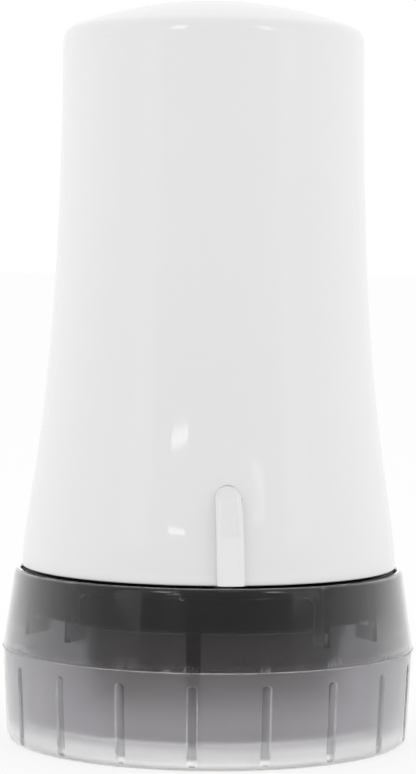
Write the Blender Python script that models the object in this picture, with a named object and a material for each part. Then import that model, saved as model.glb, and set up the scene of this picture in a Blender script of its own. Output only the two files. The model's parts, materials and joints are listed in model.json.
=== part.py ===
"""Privacy roller stamp, standing on its see-through cap.

A bell-shaped housing is the handle. A chassis ring plugs into its foot, and a cartridge with
a stamp roller and the sprung ink roller that feeds it hangs in that ring. A lever in the front
of the housing hooks under the cartridge and lets it go. The cap pulls off downward.

The origin is the middle of the cap's foot. +Z is up, the lever faces -Y and the rollers turn
on axles along X. Lengths are in metres. "Reach" is the distance from the stamp's upright axis.
"""

import math

import bmesh
import bpy
from mathutils import Matrix, Vector

MM = 0.001

# Clearances, and how far helper shapes reach past each other
SEAT_GAP = 0.3 * MM
RUN_GAP = 0.3 * MM
FIT_GAP = 0.1 * MM
OVERLAP = 0.4 * MM
OVERRUN = 1.0 * MM
WELD_DISTANCE = 0.0005 * MM

# Stamp roller: a rubber sleeve with raised marks on a drum with two end caps
DIE_RADIUS = 8.6 * MM
DIE_RELIEF = 0.4 * MM
DIE_WALL = 1.4 * MM
DIE_WIDTH = 24.0 * MM
DIE_MARK_BORDER = 0.25 * MM
DIE_COLUMNS = 24
DIE_ROWS = 10
DRUM_WALL = 1.0 * MM
DRUM_WEB = 1.0 * MM
HUB_WALL = 1.0 * MM
END_CAP_THICKNESS = 0.8 * MM
END_CAP_SETBACK = 0.3 * MM
END_CAP_PLUG_WALL = 0.8 * MM
END_CAP_PLUG_DEPTH = 1.2 * MM

# Stamp axle and the clips in its two grooves
STAMP_AXLE_RADIUS = 1.2 * MM
STAMP_AXLE_LAND = 0.5 * MM
AXLE_CHAMFER = 0.2 * MM
CLIP_GROOVE_DEPTH = 0.4 * MM
CLIP_THICKNESS = 0.4 * MM
CLIP_BAND = 1.3 * MM
CLIP_MOUTH_ANGLE = math.radians(70.0)

# Ink roller: foam on a flanged core, on an axle that floats in two slots under leaf springs
INK_RADIUS = 4.6 * MM
INK_INSET = 0.5 * MM
INK_FOAM_WALL = 2.0 * MM
INK_FOAM_ROUNDING = 0.6 * MM
INK_FLANGE_RISE = 0.9 * MM
INK_FLANGE_THICKNESS = 0.8 * MM
INK_AXLE_RADIUS = 0.9 * MM
INK_AXLE_SETBACK = 0.2 * MM
INK_AXLE_DROP = 0.3 * MM
INK_SPRING_THICKNESS = 0.25 * MM
INK_SPRING_WIDTH = 0.7 * MM
INK_SPRING_HALF_SPAN = 2.7 * MM
INK_SPRING_BOW = 1.6 * MM

# Cartridge: two cheeks joined by a channel over the ink roller
CHEEK_WALL = 1.1 * MM
CHEEK_LOBE_RADIUS = 3.4 * MM
CHEEK_LIP = 0.3 * MM
CHEEK_RISE = 1.0 * MM
CHEEK_ROUNDING = 1.0 * MM
CHEEK_SHOULDER_DROP = 0.7 * MM
GUARD_GAP = 0.5 * MM
GUARD_WALL = 0.8 * MM
GUARD_DROP = 4.0 * MM
PLATE_THICKNESS = 1.2 * MM
PLATE_ROUNDING = 0.6 * MM
PEG_OFFSET = 3.5 * MM
PEG_WIDTH = 1.6 * MM
PEG_INSET = 0.2 * MM
LUG_REACH = 1.2 * MM
LUG_HALF_WIDTH = 2.2 * MM
LUG_HEIGHT = 1.2 * MM
LUG_CLEARANCE = 0.5 * MM
TONGUE_HALF_WIDTH = 2.2 * MM
TONGUE_THICKNESS = 1.0 * MM
GUSSET_HALF_WIDTH = 0.6 * MM
GUSSET_DEPTH = 4.8 * MM
GUSSET_SETBACK = 1.4 * MM

# Chassis ring: a deck with the cartridge's opening, a skirt in the cap, a spigot in the housing
DECK_THICKNESS = 1.5 * MM
DECK_LAND = 1.73 * MM
OPENING_ROUNDING = 3.0 * MM
SKIRT_WALL = 1.15 * MM
SKIRT_DEPTH = 3.0 * MM
SPIGOT_WALL = 1.0 * MM
SPIGOT_HEIGHT = 5.6 * MM
BEAD_HEIGHT = 3.6 * MM
BEAD_RISE = 0.35 * MM
BEAD_HALF_WIDTH = 0.6 * MM
RAIL_THICKNESS = 1.2 * MM
RAIL_HALF_WIDTH = 2.5 * MM
RAIL_HEIGHT = 9.1 * MM
EAR_THICKNESS = 1.1 * MM
EAR_RADIUS = 1.25 * MM
LEVER_WELL_DEPTH = 0.2 * MM

# Cap: floor and foot, flared outside with a parting step, grip grooves below the step
CAP_FOOT_HEIGHT = 0.8 * MM
CAP_FOOT_WIDTH = 2.35 * MM
CAP_FLOOR_WALL = 1.4 * MM
DRUM_CLEARANCE = 1.4 * MM
RIM_WALL = 0.55 * MM
RIM_ROUNDING = 0.25 * MM
RIM_REVEAL = 0.3 * MM
CAP_FLARE = 1.26 * MM
CAP_PARTING_HEIGHT = 9.8 * MM
CAP_PARTING_STEP = 0.12 * MM
CAP_DRAFT = 0.46 * MM
CAP_BOTTOM_ROUNDING = 0.9 * MM
CAP_CORE_DRAFT = 0.3 * MM
CAP_CORE_ROUNDING = 1.2 * MM
CAP_TURN = math.radians(-10.0)
GROOVE_COUNT = 18
GROOVE_RADIUS = 0.56 * MM
GROOVE_RUNOUT = 0.07 * MM
GROOVE_TOP_GAP = 1.2 * MM
CAP_RIB_HEIGHT = 0.5 * MM
CAP_RIB_WIDTH = 0.8 * MM
CAP_RIB_TOP_GAP = 0.5 * MM
CAP_RIB_ANGLES = [math.radians(angle) for angle in (40, 60, 120, 140, 220, 240, 300, 320)]
STOP_DEPTH = 1.3 * MM
STOP_HEIGHT = 1.4 * MM
KEY_RIB_WIDTH = 1.4 * MM
KEY_RIB_DEPTH = 0.6 * MM
KEY_RIB_TOP_GAP = 0.9 * MM
KEY_RIB_ANGLES = [math.radians(angle) for angle in (0, 180)]
PAD_THICKNESS = 0.2 * MM
PAD_HEIGHT = 3.5 * MM
PAD_TOP_GAP = 1.0 * MM
PAD_ROUNDING = 1.0 * MM
PAD_HALF_ANGLE = math.radians(36.0)

# Housing: a bell-shaped side and a shallow crown
HOUSING_WALL = 1.5 * MM
HOUSING_INSET = 0.15 * MM
HOUSING_FLARE = 3.87 * MM
HOUSING_SIDE_HEIGHT = 55.5 * MM
HOUSING_LOWER_HANDLE = 6.7 * MM
HOUSING_UPPER_HANDLE = 40.1 * MM
HOUSING_CROWN_RISE = 3.3 * MM
HOUSING_CORNER_ROUNDING = 0.6 * MM
HOUSING_CORE_ROUNDING = 1.0 * MM
HOUSING_FOOT_ROUNDING = 0.2 * MM
LOCATING_RIB_WIDTH = 1.4 * MM
LOCATING_RIB_DEPTH = 1.0 * MM
LOCATING_RIB_HEIGHT = 4.7 * MM

# Release lever: an outside finger, a flange behind the slot, a hub on the pin, a hooked arm
FINGER_WIDTH = 2.75 * MM
FINGER_HEIGHT = 9.4 * MM
FINGER_LIFT = 0.4 * MM
FINGER_PROUD = 1.05 * MM
FINGER_STRAIGHT = 4.2 * MM
FINGER_NOSE_RADIUS = 8.0 * MM
FINGER_ROUNDING = 0.35 * MM
FINGER_ROUNDING_SHARE = 0.8
FINGER_SIDE_GAP = 0.15 * MM
FLANGE_HALF_WIDTH = 2.15 * MM
FLANGE_THICKNESS = 0.9 * MM
FLANGE_WALL_GAP = 0.4 * MM
FLANGE_MARGIN = 0.5 * MM
PIVOT_HEIGHT = 6.2 * MM
PIVOT_INSET = 2.74 * MM
PIVOT_HUB_WALL = 0.7 * MM
HUB_HALF_WIDTH = 2.3 * MM
ARM_HALF_WIDTH = 1.8 * MM
ARM_THICKNESS = 1.2 * MM
HOOK_DEPTH = 1.0 * MM
HOOK_TIP = 0.5 * MM
LATCH_BITE = 0.3 * MM
LEVER_PIN_RADIUS = 0.5 * MM
LEVER_SPRING_HALF_WIDTH = 1.0 * MM
LEVER_SPRING_THICKNESS = 0.25 * MM
LEVER_SPRING_ROOT = 1.1 * MM
LEVER_SPRING_RISE = 2.6 * MM
LEVER_SPRING_LEAN = 0.5 * MM

# Facets round each kind of piece
HOUSING_FACETS = 48
CAP_FACETS = 3 * GROOVE_COUNT
CHASSIS_FACETS = 42
DRUM_FACETS = DIE_COLUMNS
INK_FACETS = 24
AXLE_FACETS = 12
GROOVE_FACETS = 10
SMOOTH_ANGLE = math.radians(35.0)

# Roller places, worked out upward from the cap's floor and outward from the die
CAP_FLOOR_Z = CAP_FOOT_HEIGHT + CAP_FLOOR_WALL
STAMP_Z = CAP_FLOOR_Z + DRUM_CLEARANCE + DIE_RADIUS
INK_Z = STAMP_Z + DIE_RADIUS + RUN_GAP + INK_RADIUS
DIE_HALF = DIE_WIDTH / 2
DIE_BASE_RADIUS = DIE_RADIUS - DIE_RELIEF
DIE_BORE_RADIUS = DIE_BASE_RADIUS - DIE_WALL
DRUM_RADIUS = DIE_BORE_RADIUS - FIT_GAP
DRUM_BORE_RADIUS = DRUM_RADIUS - DRUM_WALL
STAMP_BORE_RADIUS = STAMP_AXLE_RADIUS + FIT_GAP
HUB_RADIUS = STAMP_BORE_RADIUS + HUB_WALL
END_CAP_X = DIE_HALF + FIT_GAP
END_CAP_RADIUS = DIE_BASE_RADIUS - END_CAP_SETBACK
INK_HALF = DIE_HALF - INK_INSET
INK_FOAM_BORE_RADIUS = INK_RADIUS - INK_FOAM_WALL
INK_CORE_RADIUS = INK_FOAM_BORE_RADIUS - FIT_GAP
INK_CORE_BORE_RADIUS = INK_AXLE_RADIUS + FIT_GAP

# Cartridge places
CHEEK_X = END_CAP_X + END_CAP_THICKNESS + RUN_GAP
CHEEK_OUTER_X = CHEEK_X + CHEEK_WALL
CLIP_GROOVE_END_X = CHEEK_OUTER_X + CLIP_THICKNESS + 2 * FIT_GAP
CLIP_BORE_RADIUS = STAMP_AXLE_RADIUS - CLIP_GROOVE_DEPTH + FIT_GAP
CLIP_RADIUS = CLIP_BORE_RADIUS + CLIP_BAND
STAMP_AXLE_HALF = CLIP_GROOVE_END_X + STAMP_AXLE_LAND
GUARD_INNER = INK_RADIUS + GUARD_GAP
GUARD_OUTER = GUARD_INNER + GUARD_WALL
CHEEK_HALF_DEPTH = GUARD_OUTER + CHEEK_LIP
PLATE_Z = INK_Z + INK_RADIUS + GUARD_GAP
PLATE_TOP_Z = PLATE_Z + PLATE_THICKNESS
CHEEK_TOP_Z = PLATE_TOP_Z + CHEEK_RISE
GUARD_Z = INK_Z - GUARD_DROP
CHEEK_SHOULDER_Z = GUARD_Z - CHEEK_SHOULDER_DROP
PEG_Z = PLATE_Z + PEG_INSET
PEG_TOP_Z = PLATE_TOP_Z - PEG_INSET
SPRING_POCKET_Z = INK_Z + INK_AXLE_RADIUS
SPRING_POCKET_TOP_Z = SPRING_POCKET_Z + 2 * FIT_GAP + INK_SPRING_BOW + INK_SPRING_THICKNESS
LUG_Z = STAMP_Z + CLIP_RADIUS + LUG_CLEARANCE
LUG_TOP_Z = LUG_Z + LUG_HEIGHT

# Chassis heights, worked out upward from the cartridge's lugs
DECK_Z = LUG_TOP_Z + SEAT_GAP
DECK_TOP_Z = DECK_Z + DECK_THICKNESS
SKIRT_Z = DECK_Z - SKIRT_DEPTH
SPIGOT_TOP_Z = DECK_TOP_Z + SPIGOT_HEIGHT
BEAD_Z = DECK_TOP_Z + BEAD_HEIGHT
RAIL_TOP_Z = DECK_TOP_Z + RAIL_HEIGHT

# Chassis reaches, worked out outward from its opening
OPENING_HALF_WIDTH = CHEEK_OUTER_X + RUN_GAP
OPENING_HALF_DEPTH = DIE_RADIUS + RUN_GAP
OPENING_REACH = OPENING_ROUNDING + math.hypot(
    OPENING_HALF_WIDTH - OPENING_ROUNDING, OPENING_HALF_DEPTH - OPENING_ROUNDING)
SKIRT_INNER_RADIUS = OPENING_REACH + DECK_LAND
SKIRT_RADIUS = SKIRT_INNER_RADIUS + SKIRT_WALL

# Cap places
CAP_RIB_REACH = SKIRT_RADIUS + RUN_GAP
CAP_BORE_RADIUS = CAP_RIB_REACH + CAP_RIB_HEIGHT
RIM_RADIUS = CAP_BORE_RADIUS + RIM_WALL
CAP_RADIUS = RIM_RADIUS + CAP_FLARE
CAP_LOWER_RADIUS = CAP_RADIUS - CAP_PARTING_STEP
CAP_BASE_RADIUS = CAP_LOWER_RADIUS - CAP_DRAFT
CAP_CORE_RADIUS = CAP_BORE_RADIUS - CAP_CORE_DRAFT
HOUSING_Z = DECK_TOP_Z + SEAT_GAP
CAP_TOP_Z = HOUSING_Z - RIM_REVEAL
GROOVE_REACH = CAP_BASE_RADIUS - GROOVE_RUNOUT + GROOVE_RADIUS
GROOVE_TOP_Z = CAP_PARTING_HEIGHT - GROOVE_TOP_GAP
CAP_RIB_ROOT = CAP_BORE_RADIUS + RIM_WALL / 2
STOP_TOP_Z = SKIRT_Z - SEAT_GAP
STOP_Z = STOP_TOP_Z - STOP_HEIGHT
STOP_REACH = CAP_RIB_REACH - STOP_DEPTH
KEY_RIB_REACH = CAP_RIB_REACH - KEY_RIB_DEPTH

# Housing places
HOUSING_FOOT_RADIUS = CAP_BORE_RADIUS - HOUSING_INSET
HOUSING_TOP_RADIUS = HOUSING_FOOT_RADIUS - HOUSING_FLARE
HOUSING_CORNER_Z = HOUSING_Z + HOUSING_SIDE_HEIGHT
LOCATING_RIB_Z = HOUSING_Z + SEAT_GAP

# Lever places; a reach here is measured forward, toward -Y
FINGER_HALF = FINGER_WIDTH / 2
FINGER_Z = CAP_TOP_Z + FINGER_LIFT
FINGER_TOP_Z = FINGER_Z + FINGER_HEIGHT
FINGER_ROUND_Z = FINGER_TOP_Z - FINGER_HALF
FINGER_REACH = HOUSING_FOOT_RADIUS + FINGER_PROUD
SLOT_HALF = FINGER_HALF + FINGER_SIDE_GAP
FLANGE_Z = FINGER_Z + FLANGE_MARGIN
FLANGE_TOP_Z = FINGER_TOP_Z + FLANGE_MARGIN
PIVOT_Z = FINGER_Z + PIVOT_HEIGHT
PIVOT_REACH = HOUSING_FOOT_RADIUS - HOUSING_WALL - PIVOT_INSET
PIVOT_BORE_RADIUS = LEVER_PIN_RADIUS + FIT_GAP
ARM_REACH = PIVOT_REACH - ARM_THICKNESS
HOOK_REACH = ARM_REACH - HOOK_DEPTH
HOOK_TOP_Z = PLATE_Z - SEAT_GAP
TONGUE_REACH = HOOK_REACH + LATCH_BITE
EAR_X = HUB_HALF_WIDTH + RUN_GAP
EAR_OUTER_X = EAR_X + EAR_THICKNESS


def arc(centre, radius, start, end, steps):
    """Points of a circle's arc from one angle to another."""
    points = []
    for step in range(steps + 1):
        angle = start + (end - start) * step / steps
        points.append((centre[0] + radius * math.cos(angle), centre[1] + radius * math.sin(angle)))
    return points


def rounded(corners, steps=3):
    """Outline through corners (u, v, radius), where a radius of zero leaves a sharp corner."""
    points = []
    for index, (u, v, radius) in enumerate(corners):
        if radius == 0:
            points.append((u, v))
            continue
        before = corners[index - 1]
        after = corners[(index + 1) % len(corners)]
        toward_before = math.atan2(before[1] - v, before[0] - u)
        toward_after = math.atan2(after[1] - v, after[0] - u)
        turn = (toward_after - toward_before + math.pi) % (2 * math.pi) - math.pi
        middle = toward_before + turn / 2
        distance = radius / math.sin(abs(turn) / 2)
        centre = (u + distance * math.cos(middle), v + distance * math.sin(middle))
        sweep = math.copysign(math.pi - abs(turn), turn)
        start = middle + math.pi + sweep / 2
        points += arc(centre, radius, start, start - sweep, steps)
    return points


def rectangle(u_low, u_high, v_low, v_high):
    """Corners of an upright rectangle in an outline's plane."""
    return [(u_low, v_low), (u_high, v_low), (u_high, v_high), (u_low, v_high)]


def side_point(share):
    """Point (radius, z) on the housing's outer side, from its foot (0) to its corner (1)."""
    rest = 1 - share
    radius = HOUSING_TOP_RADIUS + HOUSING_FLARE * rest ** 2 * (1 + 2 * share)
    height = (3 * rest ** 2 * share * HOUSING_LOWER_HANDLE
              + 3 * rest * share ** 2 * (HOUSING_SIDE_HEIGHT - HOUSING_UPPER_HANDLE)
              + share ** 3 * HOUSING_SIDE_HEIGHT)
    return radius, HOUSING_Z + height


def housing_radius(z):
    """Outer radius of the housing's side at a height, held to its ends past them."""
    low, high = 0.0, 1.0
    for _ in range(40):
        middle = (low + high) / 2
        if side_point(middle)[1] < z:
            low = middle
        else:
            high = middle
    return side_point(high)[0]


def housing_bore(z):
    """Inner radius of the housing's side at a height."""
    return housing_radius(z) - HOUSING_WALL


def spigot_radius(z):
    """Outer radius of the chassis ring's spigot at a height."""
    return housing_bore(z) - SEAT_GAP


def flange_reach(z):
    """Forward reach of the lever flange's outer face, clear of the housing's bore at its edges."""
    return math.sqrt(housing_bore(z) ** 2 - FLANGE_HALF_WIDTH ** 2) - FLANGE_WALL_GAP


def finger_reach(z):
    """Forward reach of the finger's face: straight below, then a nose that curves inward."""
    above = max(0.0, z - FINGER_Z - FINGER_STRAIGHT)
    return FINGER_REACH - FINGER_NOSE_RADIUS + math.sqrt(FINGER_NOSE_RADIUS ** 2 - above ** 2)


def place_point(axis, u, v, along):
    """World point for outline coordinates (u, v) and a place along the axis."""
    if axis == 'X':
        return along, u, v
    if axis == 'Y':
        return u, along, v
    return u, v, along


def prism(outline, axis, low, high):
    """Body made by extruding an outline along an axis: (y, z) along X, (x, z) along Y."""
    body = bmesh.new()
    base = body.faces.new([body.verts.new(place_point(axis, u, v, low)) for u, v in outline])
    lifted = bmesh.ops.extrude_face_region(body, geom=[base])
    moved = [item for item in lifted['geom'] if isinstance(item, bmesh.types.BMVert)]
    bmesh.ops.translate(body, verts=moved, vec=place_point(axis, 0.0, 0.0, high - low))
    bmesh.ops.recalc_face_normals(body, faces=body.faces)
    return body


def block(x_range, y_range, z_range):
    """Box between two limits on each axis."""
    return prism(rectangle(*x_range, *y_range), 'Z', *z_range)


def turned(profile, axis, facets, start=0.0):
    """Body of revolution of (radius, along) points, a ring unless its ends lie on the axis."""
    body = bmesh.new()
    verts = []
    for radius, along in profile:
        side = (radius * math.sin(start), -radius * math.cos(start))
        verts.append(body.verts.new(place_point(axis, *side, along)))
    chain = [body.edges.new(pair) for pair in zip(verts, verts[1:])]
    if profile[0][0] > 0:
        chain.append(body.edges.new((verts[-1], verts[0])))
    direction = place_point(axis, 0.0, 0.0, 1.0)
    bmesh.ops.spin(body, geom=verts + chain, cent=(0.0, 0.0, 0.0), axis=direction,
                   angle=2 * math.pi, steps=facets)
    bmesh.ops.remove_doubles(body, verts=body.verts, dist=WELD_DISTANCE)
    bmesh.ops.recalc_face_normals(body, faces=body.faces)
    return body


def lofted(sections):
    """Closed body through sections that have the same number of points."""
    body = bmesh.new()
    rings = [[body.verts.new(point) for point in section] for section in sections]
    for lower, upper in zip(rings, rings[1:]):
        for index, vert in enumerate(lower):
            body.faces.new((lower[index - 1], vert, upper[index], upper[index - 1]))
    body.faces.new(rings[0])
    body.faces.new(rings[-1])
    bmesh.ops.recalc_face_normals(body, faces=body.faces)
    return body


def turned_by(body, angle):
    """The same body turned about the upright axis."""
    bmesh.ops.rotate(body, verts=body.verts, matrix=Matrix.Rotation(angle, 3, 'Z'))
    return body


def moved_to(body, place):
    """The same body moved by a vector."""
    bmesh.ops.translate(body, verts=body.verts, vec=place)
    return body


def gathered(bodies):
    """One body that holds several separate ones."""
    total = bmesh.new()
    for body in bodies:
        mesh = bpy.data.meshes.new('gathered')
        body.to_mesh(mesh)
        body.free()
        total.from_mesh(mesh)
        bpy.data.meshes.remove(mesh)
    return total


def make_material(name, colour, roughness, metallic=0.0, alpha=1.0):
    """Plain Principled material."""
    material = bpy.data.materials.new(name)
    material.use_nodes = True
    shader = material.node_tree.nodes['Principled BSDF']
    shader.inputs['Base Color'].default_value = (*colour, 1.0)
    shader.inputs['Roughness'].default_value = roughness
    shader.inputs['Metallic'].default_value = metallic
    shader.inputs['Alpha'].default_value = alpha
    return material


def make_mesh(name, body, origin):
    """Mesh of a body, seen from its object's origin, with smooth round faces."""
    bmesh.ops.translate(body, verts=body.verts, vec=-Vector(origin))
    mesh = bpy.data.meshes.new(name)
    body.to_mesh(mesh)
    body.free()
    mesh.shade_smooth()
    mesh.set_sharp_from_angle(angle=SMOOTH_ANGLE)
    return mesh


def add_piece(name, body, material, axle=None):
    """Object for one piece, carried by the empty on its joint's axis where it has one."""
    origin = axle.location if axle else (0.0, 0.0, 0.0)
    piece = bpy.data.objects.new(name, make_mesh(name, body, origin))
    piece.data.materials.append(material)
    piece.parent = axle
    bpy.context.collection.objects.link(piece)
    return piece


def add_axle(name, place):
    """Empty on the axis of a joint."""
    axle = bpy.data.objects.new(name, None)
    axle.location = place
    bpy.context.collection.objects.link(axle)
    return axle


def combine(piece, name, body, operation):
    """Join a body to a piece, cut it away or keep what they share, as a Boolean modifier."""
    helper = bpy.data.objects.new(f'{piece.name}.{name}', make_mesh(name, body, (0.0, 0.0, 0.0)))
    helper.display_type = 'WIRE'
    helper.hide_render = True
    bpy.context.collection.objects.link(helper)
    modifier = piece.modifiers.new(name, 'BOOLEAN')
    modifier.operation = operation
    modifier.solver = 'EXACT'
    modifier.object = helper


def join(piece, name, body):
    """Unite a body with a piece."""
    combine(piece, name, body, 'UNION')


def cut(piece, name, body):
    """Cut a body out of a piece."""
    combine(piece, name, body, 'DIFFERENCE')


def rod(radius, half_length, chamfer):
    """Round rod along X with chamfered ends."""
    profile = [
        (0.0, -half_length),
        (radius - chamfer, -half_length),
        (radius, chamfer - half_length),
        (radius, half_length - chamfer),
        (radius - chamfer, half_length),
        (0.0, half_length),
    ]
    return turned(profile, 'X', AXLE_FACETS)


def drill(radius, low, high, y, z):
    """Round cutter along X through a place in the YZ plane."""
    profile = [(0.0, low), (radius, low), (radius, high), (0.0, high)]
    return moved_to(turned(profile, 'X', AXLE_FACETS), (0.0, y, z))


def die_sleeve(material, axle):
    """Rubber sleeve with staggered raised marks, a generic hiding pattern."""
    rows = [(DIE_BASE_RADIUS, DIE_WIDTH * row / DIE_ROWS - DIE_HALF) for row in range(DIE_ROWS + 1)]
    bore = [(DIE_BORE_RADIUS, DIE_HALF), (DIE_BORE_RADIUS, -DIE_HALF)]
    body = turned(rows + bore, 'X', DIE_COLUMNS)
    marks = []
    for face in body.faces:
        centre = face.calc_center_median()
        if face.normal.dot((0.0, centre.y, centre.z)) <= 0 or abs(face.normal.x) > 0.5:
            continue
        angle = math.atan2(centre.y, centre.z) % (2 * math.pi)
        column = int(angle / (2 * math.pi) * DIE_COLUMNS)
        row = int((centre.x + DIE_HALF) / DIE_WIDTH * DIE_ROWS)
        if (column + row) % 2 == 0:
            marks.append(face)
    bmesh.ops.inset_individual(body, faces=marks, thickness=DIE_MARK_BORDER, depth=DIE_RELIEF)
    return add_piece('die_sleeve', moved_to(body, (0.0, 0.0, STAMP_Z)), material, axle)


def drum_core(material, axle):
    """Drum of the stamp roller: a rim and a hub on a middle web."""
    half_web = DRUM_WEB / 2
    right = [
        (DRUM_RADIUS, DIE_HALF),
        (DRUM_BORE_RADIUS, DIE_HALF),
        (DRUM_BORE_RADIUS, half_web),
        (HUB_RADIUS, half_web),
        (HUB_RADIUS, DIE_HALF),
        (STAMP_BORE_RADIUS, DIE_HALF),
    ]
    left = [(radius, -along) for radius, along in reversed(right)]
    body = turned(right + left, 'X', DRUM_FACETS)
    return add_piece('drum_core', moved_to(body, (0.0, 0.0, STAMP_Z)), material, axle)


def drum_end_cap(side, sign, material, axle):
    """Disc that closes one end of the drum, with a ring that plugs into it."""
    plug_radius = DRUM_BORE_RADIUS - FIT_GAP
    plug_x = END_CAP_X - END_CAP_PLUG_DEPTH
    profile = [
        (STAMP_BORE_RADIUS, END_CAP_X),
        (plug_radius - END_CAP_PLUG_WALL, END_CAP_X),
        (plug_radius - END_CAP_PLUG_WALL, plug_x),
        (plug_radius, plug_x),
        (plug_radius, END_CAP_X),
        (END_CAP_RADIUS, END_CAP_X),
        (END_CAP_RADIUS, END_CAP_X + END_CAP_THICKNESS),
        (STAMP_BORE_RADIUS, END_CAP_X + END_CAP_THICKNESS),
    ]
    body = turned([(radius, sign * along) for radius, along in profile], 'X', DRUM_FACETS)
    return add_piece(f'drum_end_cap_{side}', moved_to(body, (0.0, 0.0, STAMP_Z)), material, axle)


def stamp_axle(material):
    """Fixed axle of the stamp roller, with a clip groove near each end."""
    groove_radius = STAMP_AXLE_RADIUS - CLIP_GROOVE_DEPTH
    right = [
        (STAMP_AXLE_RADIUS, CHEEK_OUTER_X),
        (groove_radius, CHEEK_OUTER_X),
        (groove_radius, CLIP_GROOVE_END_X),
        (STAMP_AXLE_RADIUS, CLIP_GROOVE_END_X),
        (STAMP_AXLE_RADIUS, STAMP_AXLE_HALF - AXLE_CHAMFER),
        (STAMP_AXLE_RADIUS - AXLE_CHAMFER, STAMP_AXLE_HALF),
        (0.0, STAMP_AXLE_HALF),
    ]
    left = [(radius, -along) for radius, along in reversed(right)]
    body = turned(left + right, 'X', AXLE_FACETS)
    return add_piece('stamp_axle', moved_to(body, (0.0, 0.0, STAMP_Z)), material)


def axle_clip(side, sign, material):
    """Spring clip in an axle groove, with its mouth downward."""
    first = CLIP_MOUTH_ANGLE / 2 - math.pi / 2
    last = first + 2 * math.pi - CLIP_MOUTH_ANGLE
    centre = (0.0, STAMP_Z)
    outline = arc(centre, CLIP_RADIUS, first, last, AXLE_FACETS)
    outline += arc(centre, CLIP_BORE_RADIUS, last, first, AXLE_FACETS)
    inner_x = CHEEK_OUTER_X + FIT_GAP
    ends = sorted((sign * inner_x, sign * (inner_x + CLIP_THICKNESS)))
    return add_piece(f'axle_clip_{side}', prism(outline, 'X', *ends), material)


def ink_core(material, axle):
    """Flanged tube that carries the ink foam."""
    half = CHEEK_X - RUN_GAP
    flange_x = half - INK_FLANGE_THICKNESS
    flange_radius = INK_CORE_RADIUS + INK_FLANGE_RISE
    right = [
        (INK_CORE_RADIUS, flange_x),
        (flange_radius, flange_x),
        (flange_radius, half),
        (INK_CORE_BORE_RADIUS, half),
    ]
    left = [(radius, -along) for radius, along in reversed(right)]
    body = turned(right + left, 'X', INK_FACETS)
    return add_piece('ink_core', moved_to(body, (0.0, 0.0, INK_Z)), material, axle)


def ink_sleeve(material, axle):
    """Foam sleeve soaked with ink."""
    corners = [
        (INK_FOAM_BORE_RADIUS, -INK_HALF, 0),
        (INK_RADIUS, -INK_HALF, INK_FOAM_ROUNDING),
        (INK_RADIUS, INK_HALF, INK_FOAM_ROUNDING),
        (INK_FOAM_BORE_RADIUS, INK_HALF, 0),
    ]
    body = turned(rounded(corners, 2), 'X', INK_FACETS)
    return add_piece('ink_sleeve', moved_to(body, (0.0, 0.0, INK_Z)), material, axle)


def ink_axle(material):
    """Axle of the ink roller, which floats in the cheeks' slots."""
    body = rod(INK_AXLE_RADIUS, CHEEK_OUTER_X - INK_AXLE_SETBACK, AXLE_CHAMFER)
    return add_piece('ink_axle', moved_to(body, (0.0, 0.0, INK_Z)), material)


def ink_spring(side, sign, material):
    """Bowed leaf in a cheek's pocket, pressing the ink axle down."""
    radius = (INK_SPRING_HALF_SPAN ** 2 + INK_SPRING_BOW ** 2) / (2 * INK_SPRING_BOW)
    centre = (0.0, SPRING_POCKET_Z + FIT_GAP + radius)
    half_angle = math.asin(INK_SPRING_HALF_SPAN / radius)
    down = -math.pi / 2
    outline = arc(centre, radius, down - half_angle, down + half_angle, 10)
    outline += arc(centre, radius - INK_SPRING_THICKNESS, down + half_angle, down - half_angle, 10)
    middle = sign * (CHEEK_X + CHEEK_WALL / 2)
    body = prism(outline, 'X', middle - INK_SPRING_WIDTH / 2, middle + INK_SPRING_WIDTH / 2)
    return add_piece(f'ink_spring_{side}', body, material)


def cheek_outline():
    """Outline (y, z) of a cheek: a lobe round the stamp axle that widens to the shoulders."""
    rise = CHEEK_SHOULDER_Z - STAMP_Z
    distance = math.hypot(CHEEK_HALF_DEPTH, rise)
    tangent = math.atan2(rise, CHEEK_HALF_DEPTH) - math.acos(CHEEK_LOBE_RADIUS / distance)
    lobe = arc((0.0, STAMP_Z), CHEEK_LOBE_RADIUS, -math.pi - tangent, tangent, 10)
    top = [
        (CHEEK_HALF_DEPTH, CHEEK_SHOULDER_Z, 0),
        (CHEEK_HALF_DEPTH, CHEEK_TOP_Z, CHEEK_ROUNDING),
        (-CHEEK_HALF_DEPTH, CHEEK_TOP_Z, CHEEK_ROUNDING),
        (-CHEEK_HALF_DEPTH, CHEEK_SHOULDER_Z, 0),
    ]
    return lobe + rounded(top)


def cut_bearings(piece, sign):
    """Cut a cheek's axle bore, and its slot for the ink axle with the spring's pocket on top."""
    low, high = sorted((sign * (CHEEK_X - OVERRUN), sign * (CHEEK_OUTER_X + OVERRUN)))
    cut(piece, 'axle_bore', drill(STAMP_BORE_RADIUS, low, high, 0.0, STAMP_Z))
    slot_half = INK_AXLE_RADIUS + FIT_GAP
    pocket_half = INK_SPRING_HALF_SPAN + SEAT_GAP
    slot = arc((0.0, INK_Z - INK_AXLE_DROP + FIT_GAP), slot_half, -math.pi, 0.0, 8)
    slot += [(slot_half, SPRING_POCKET_Z), (pocket_half, SPRING_POCKET_Z)]
    slot += [(pocket_half, SPRING_POCKET_TOP_Z), (-pocket_half, SPRING_POCKET_TOP_Z)]
    slot += [(-pocket_half, SPRING_POCKET_Z), (-slot_half, SPRING_POCKET_Z)]
    cut(piece, 'ink_slot', prism(slot, 'X', low, high))


def join_lug(piece, sign):
    """Add the lug that stops a cheek under the chassis deck."""
    ends = sorted((sign * (CHEEK_OUTER_X - OVERLAP), sign * (CHEEK_OUTER_X + LUG_REACH)))
    join(piece, 'lug', block(ends, (-LUG_HALF_WIDTH, LUG_HALF_WIDTH), (LUG_Z, LUG_TOP_Z)))


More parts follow.
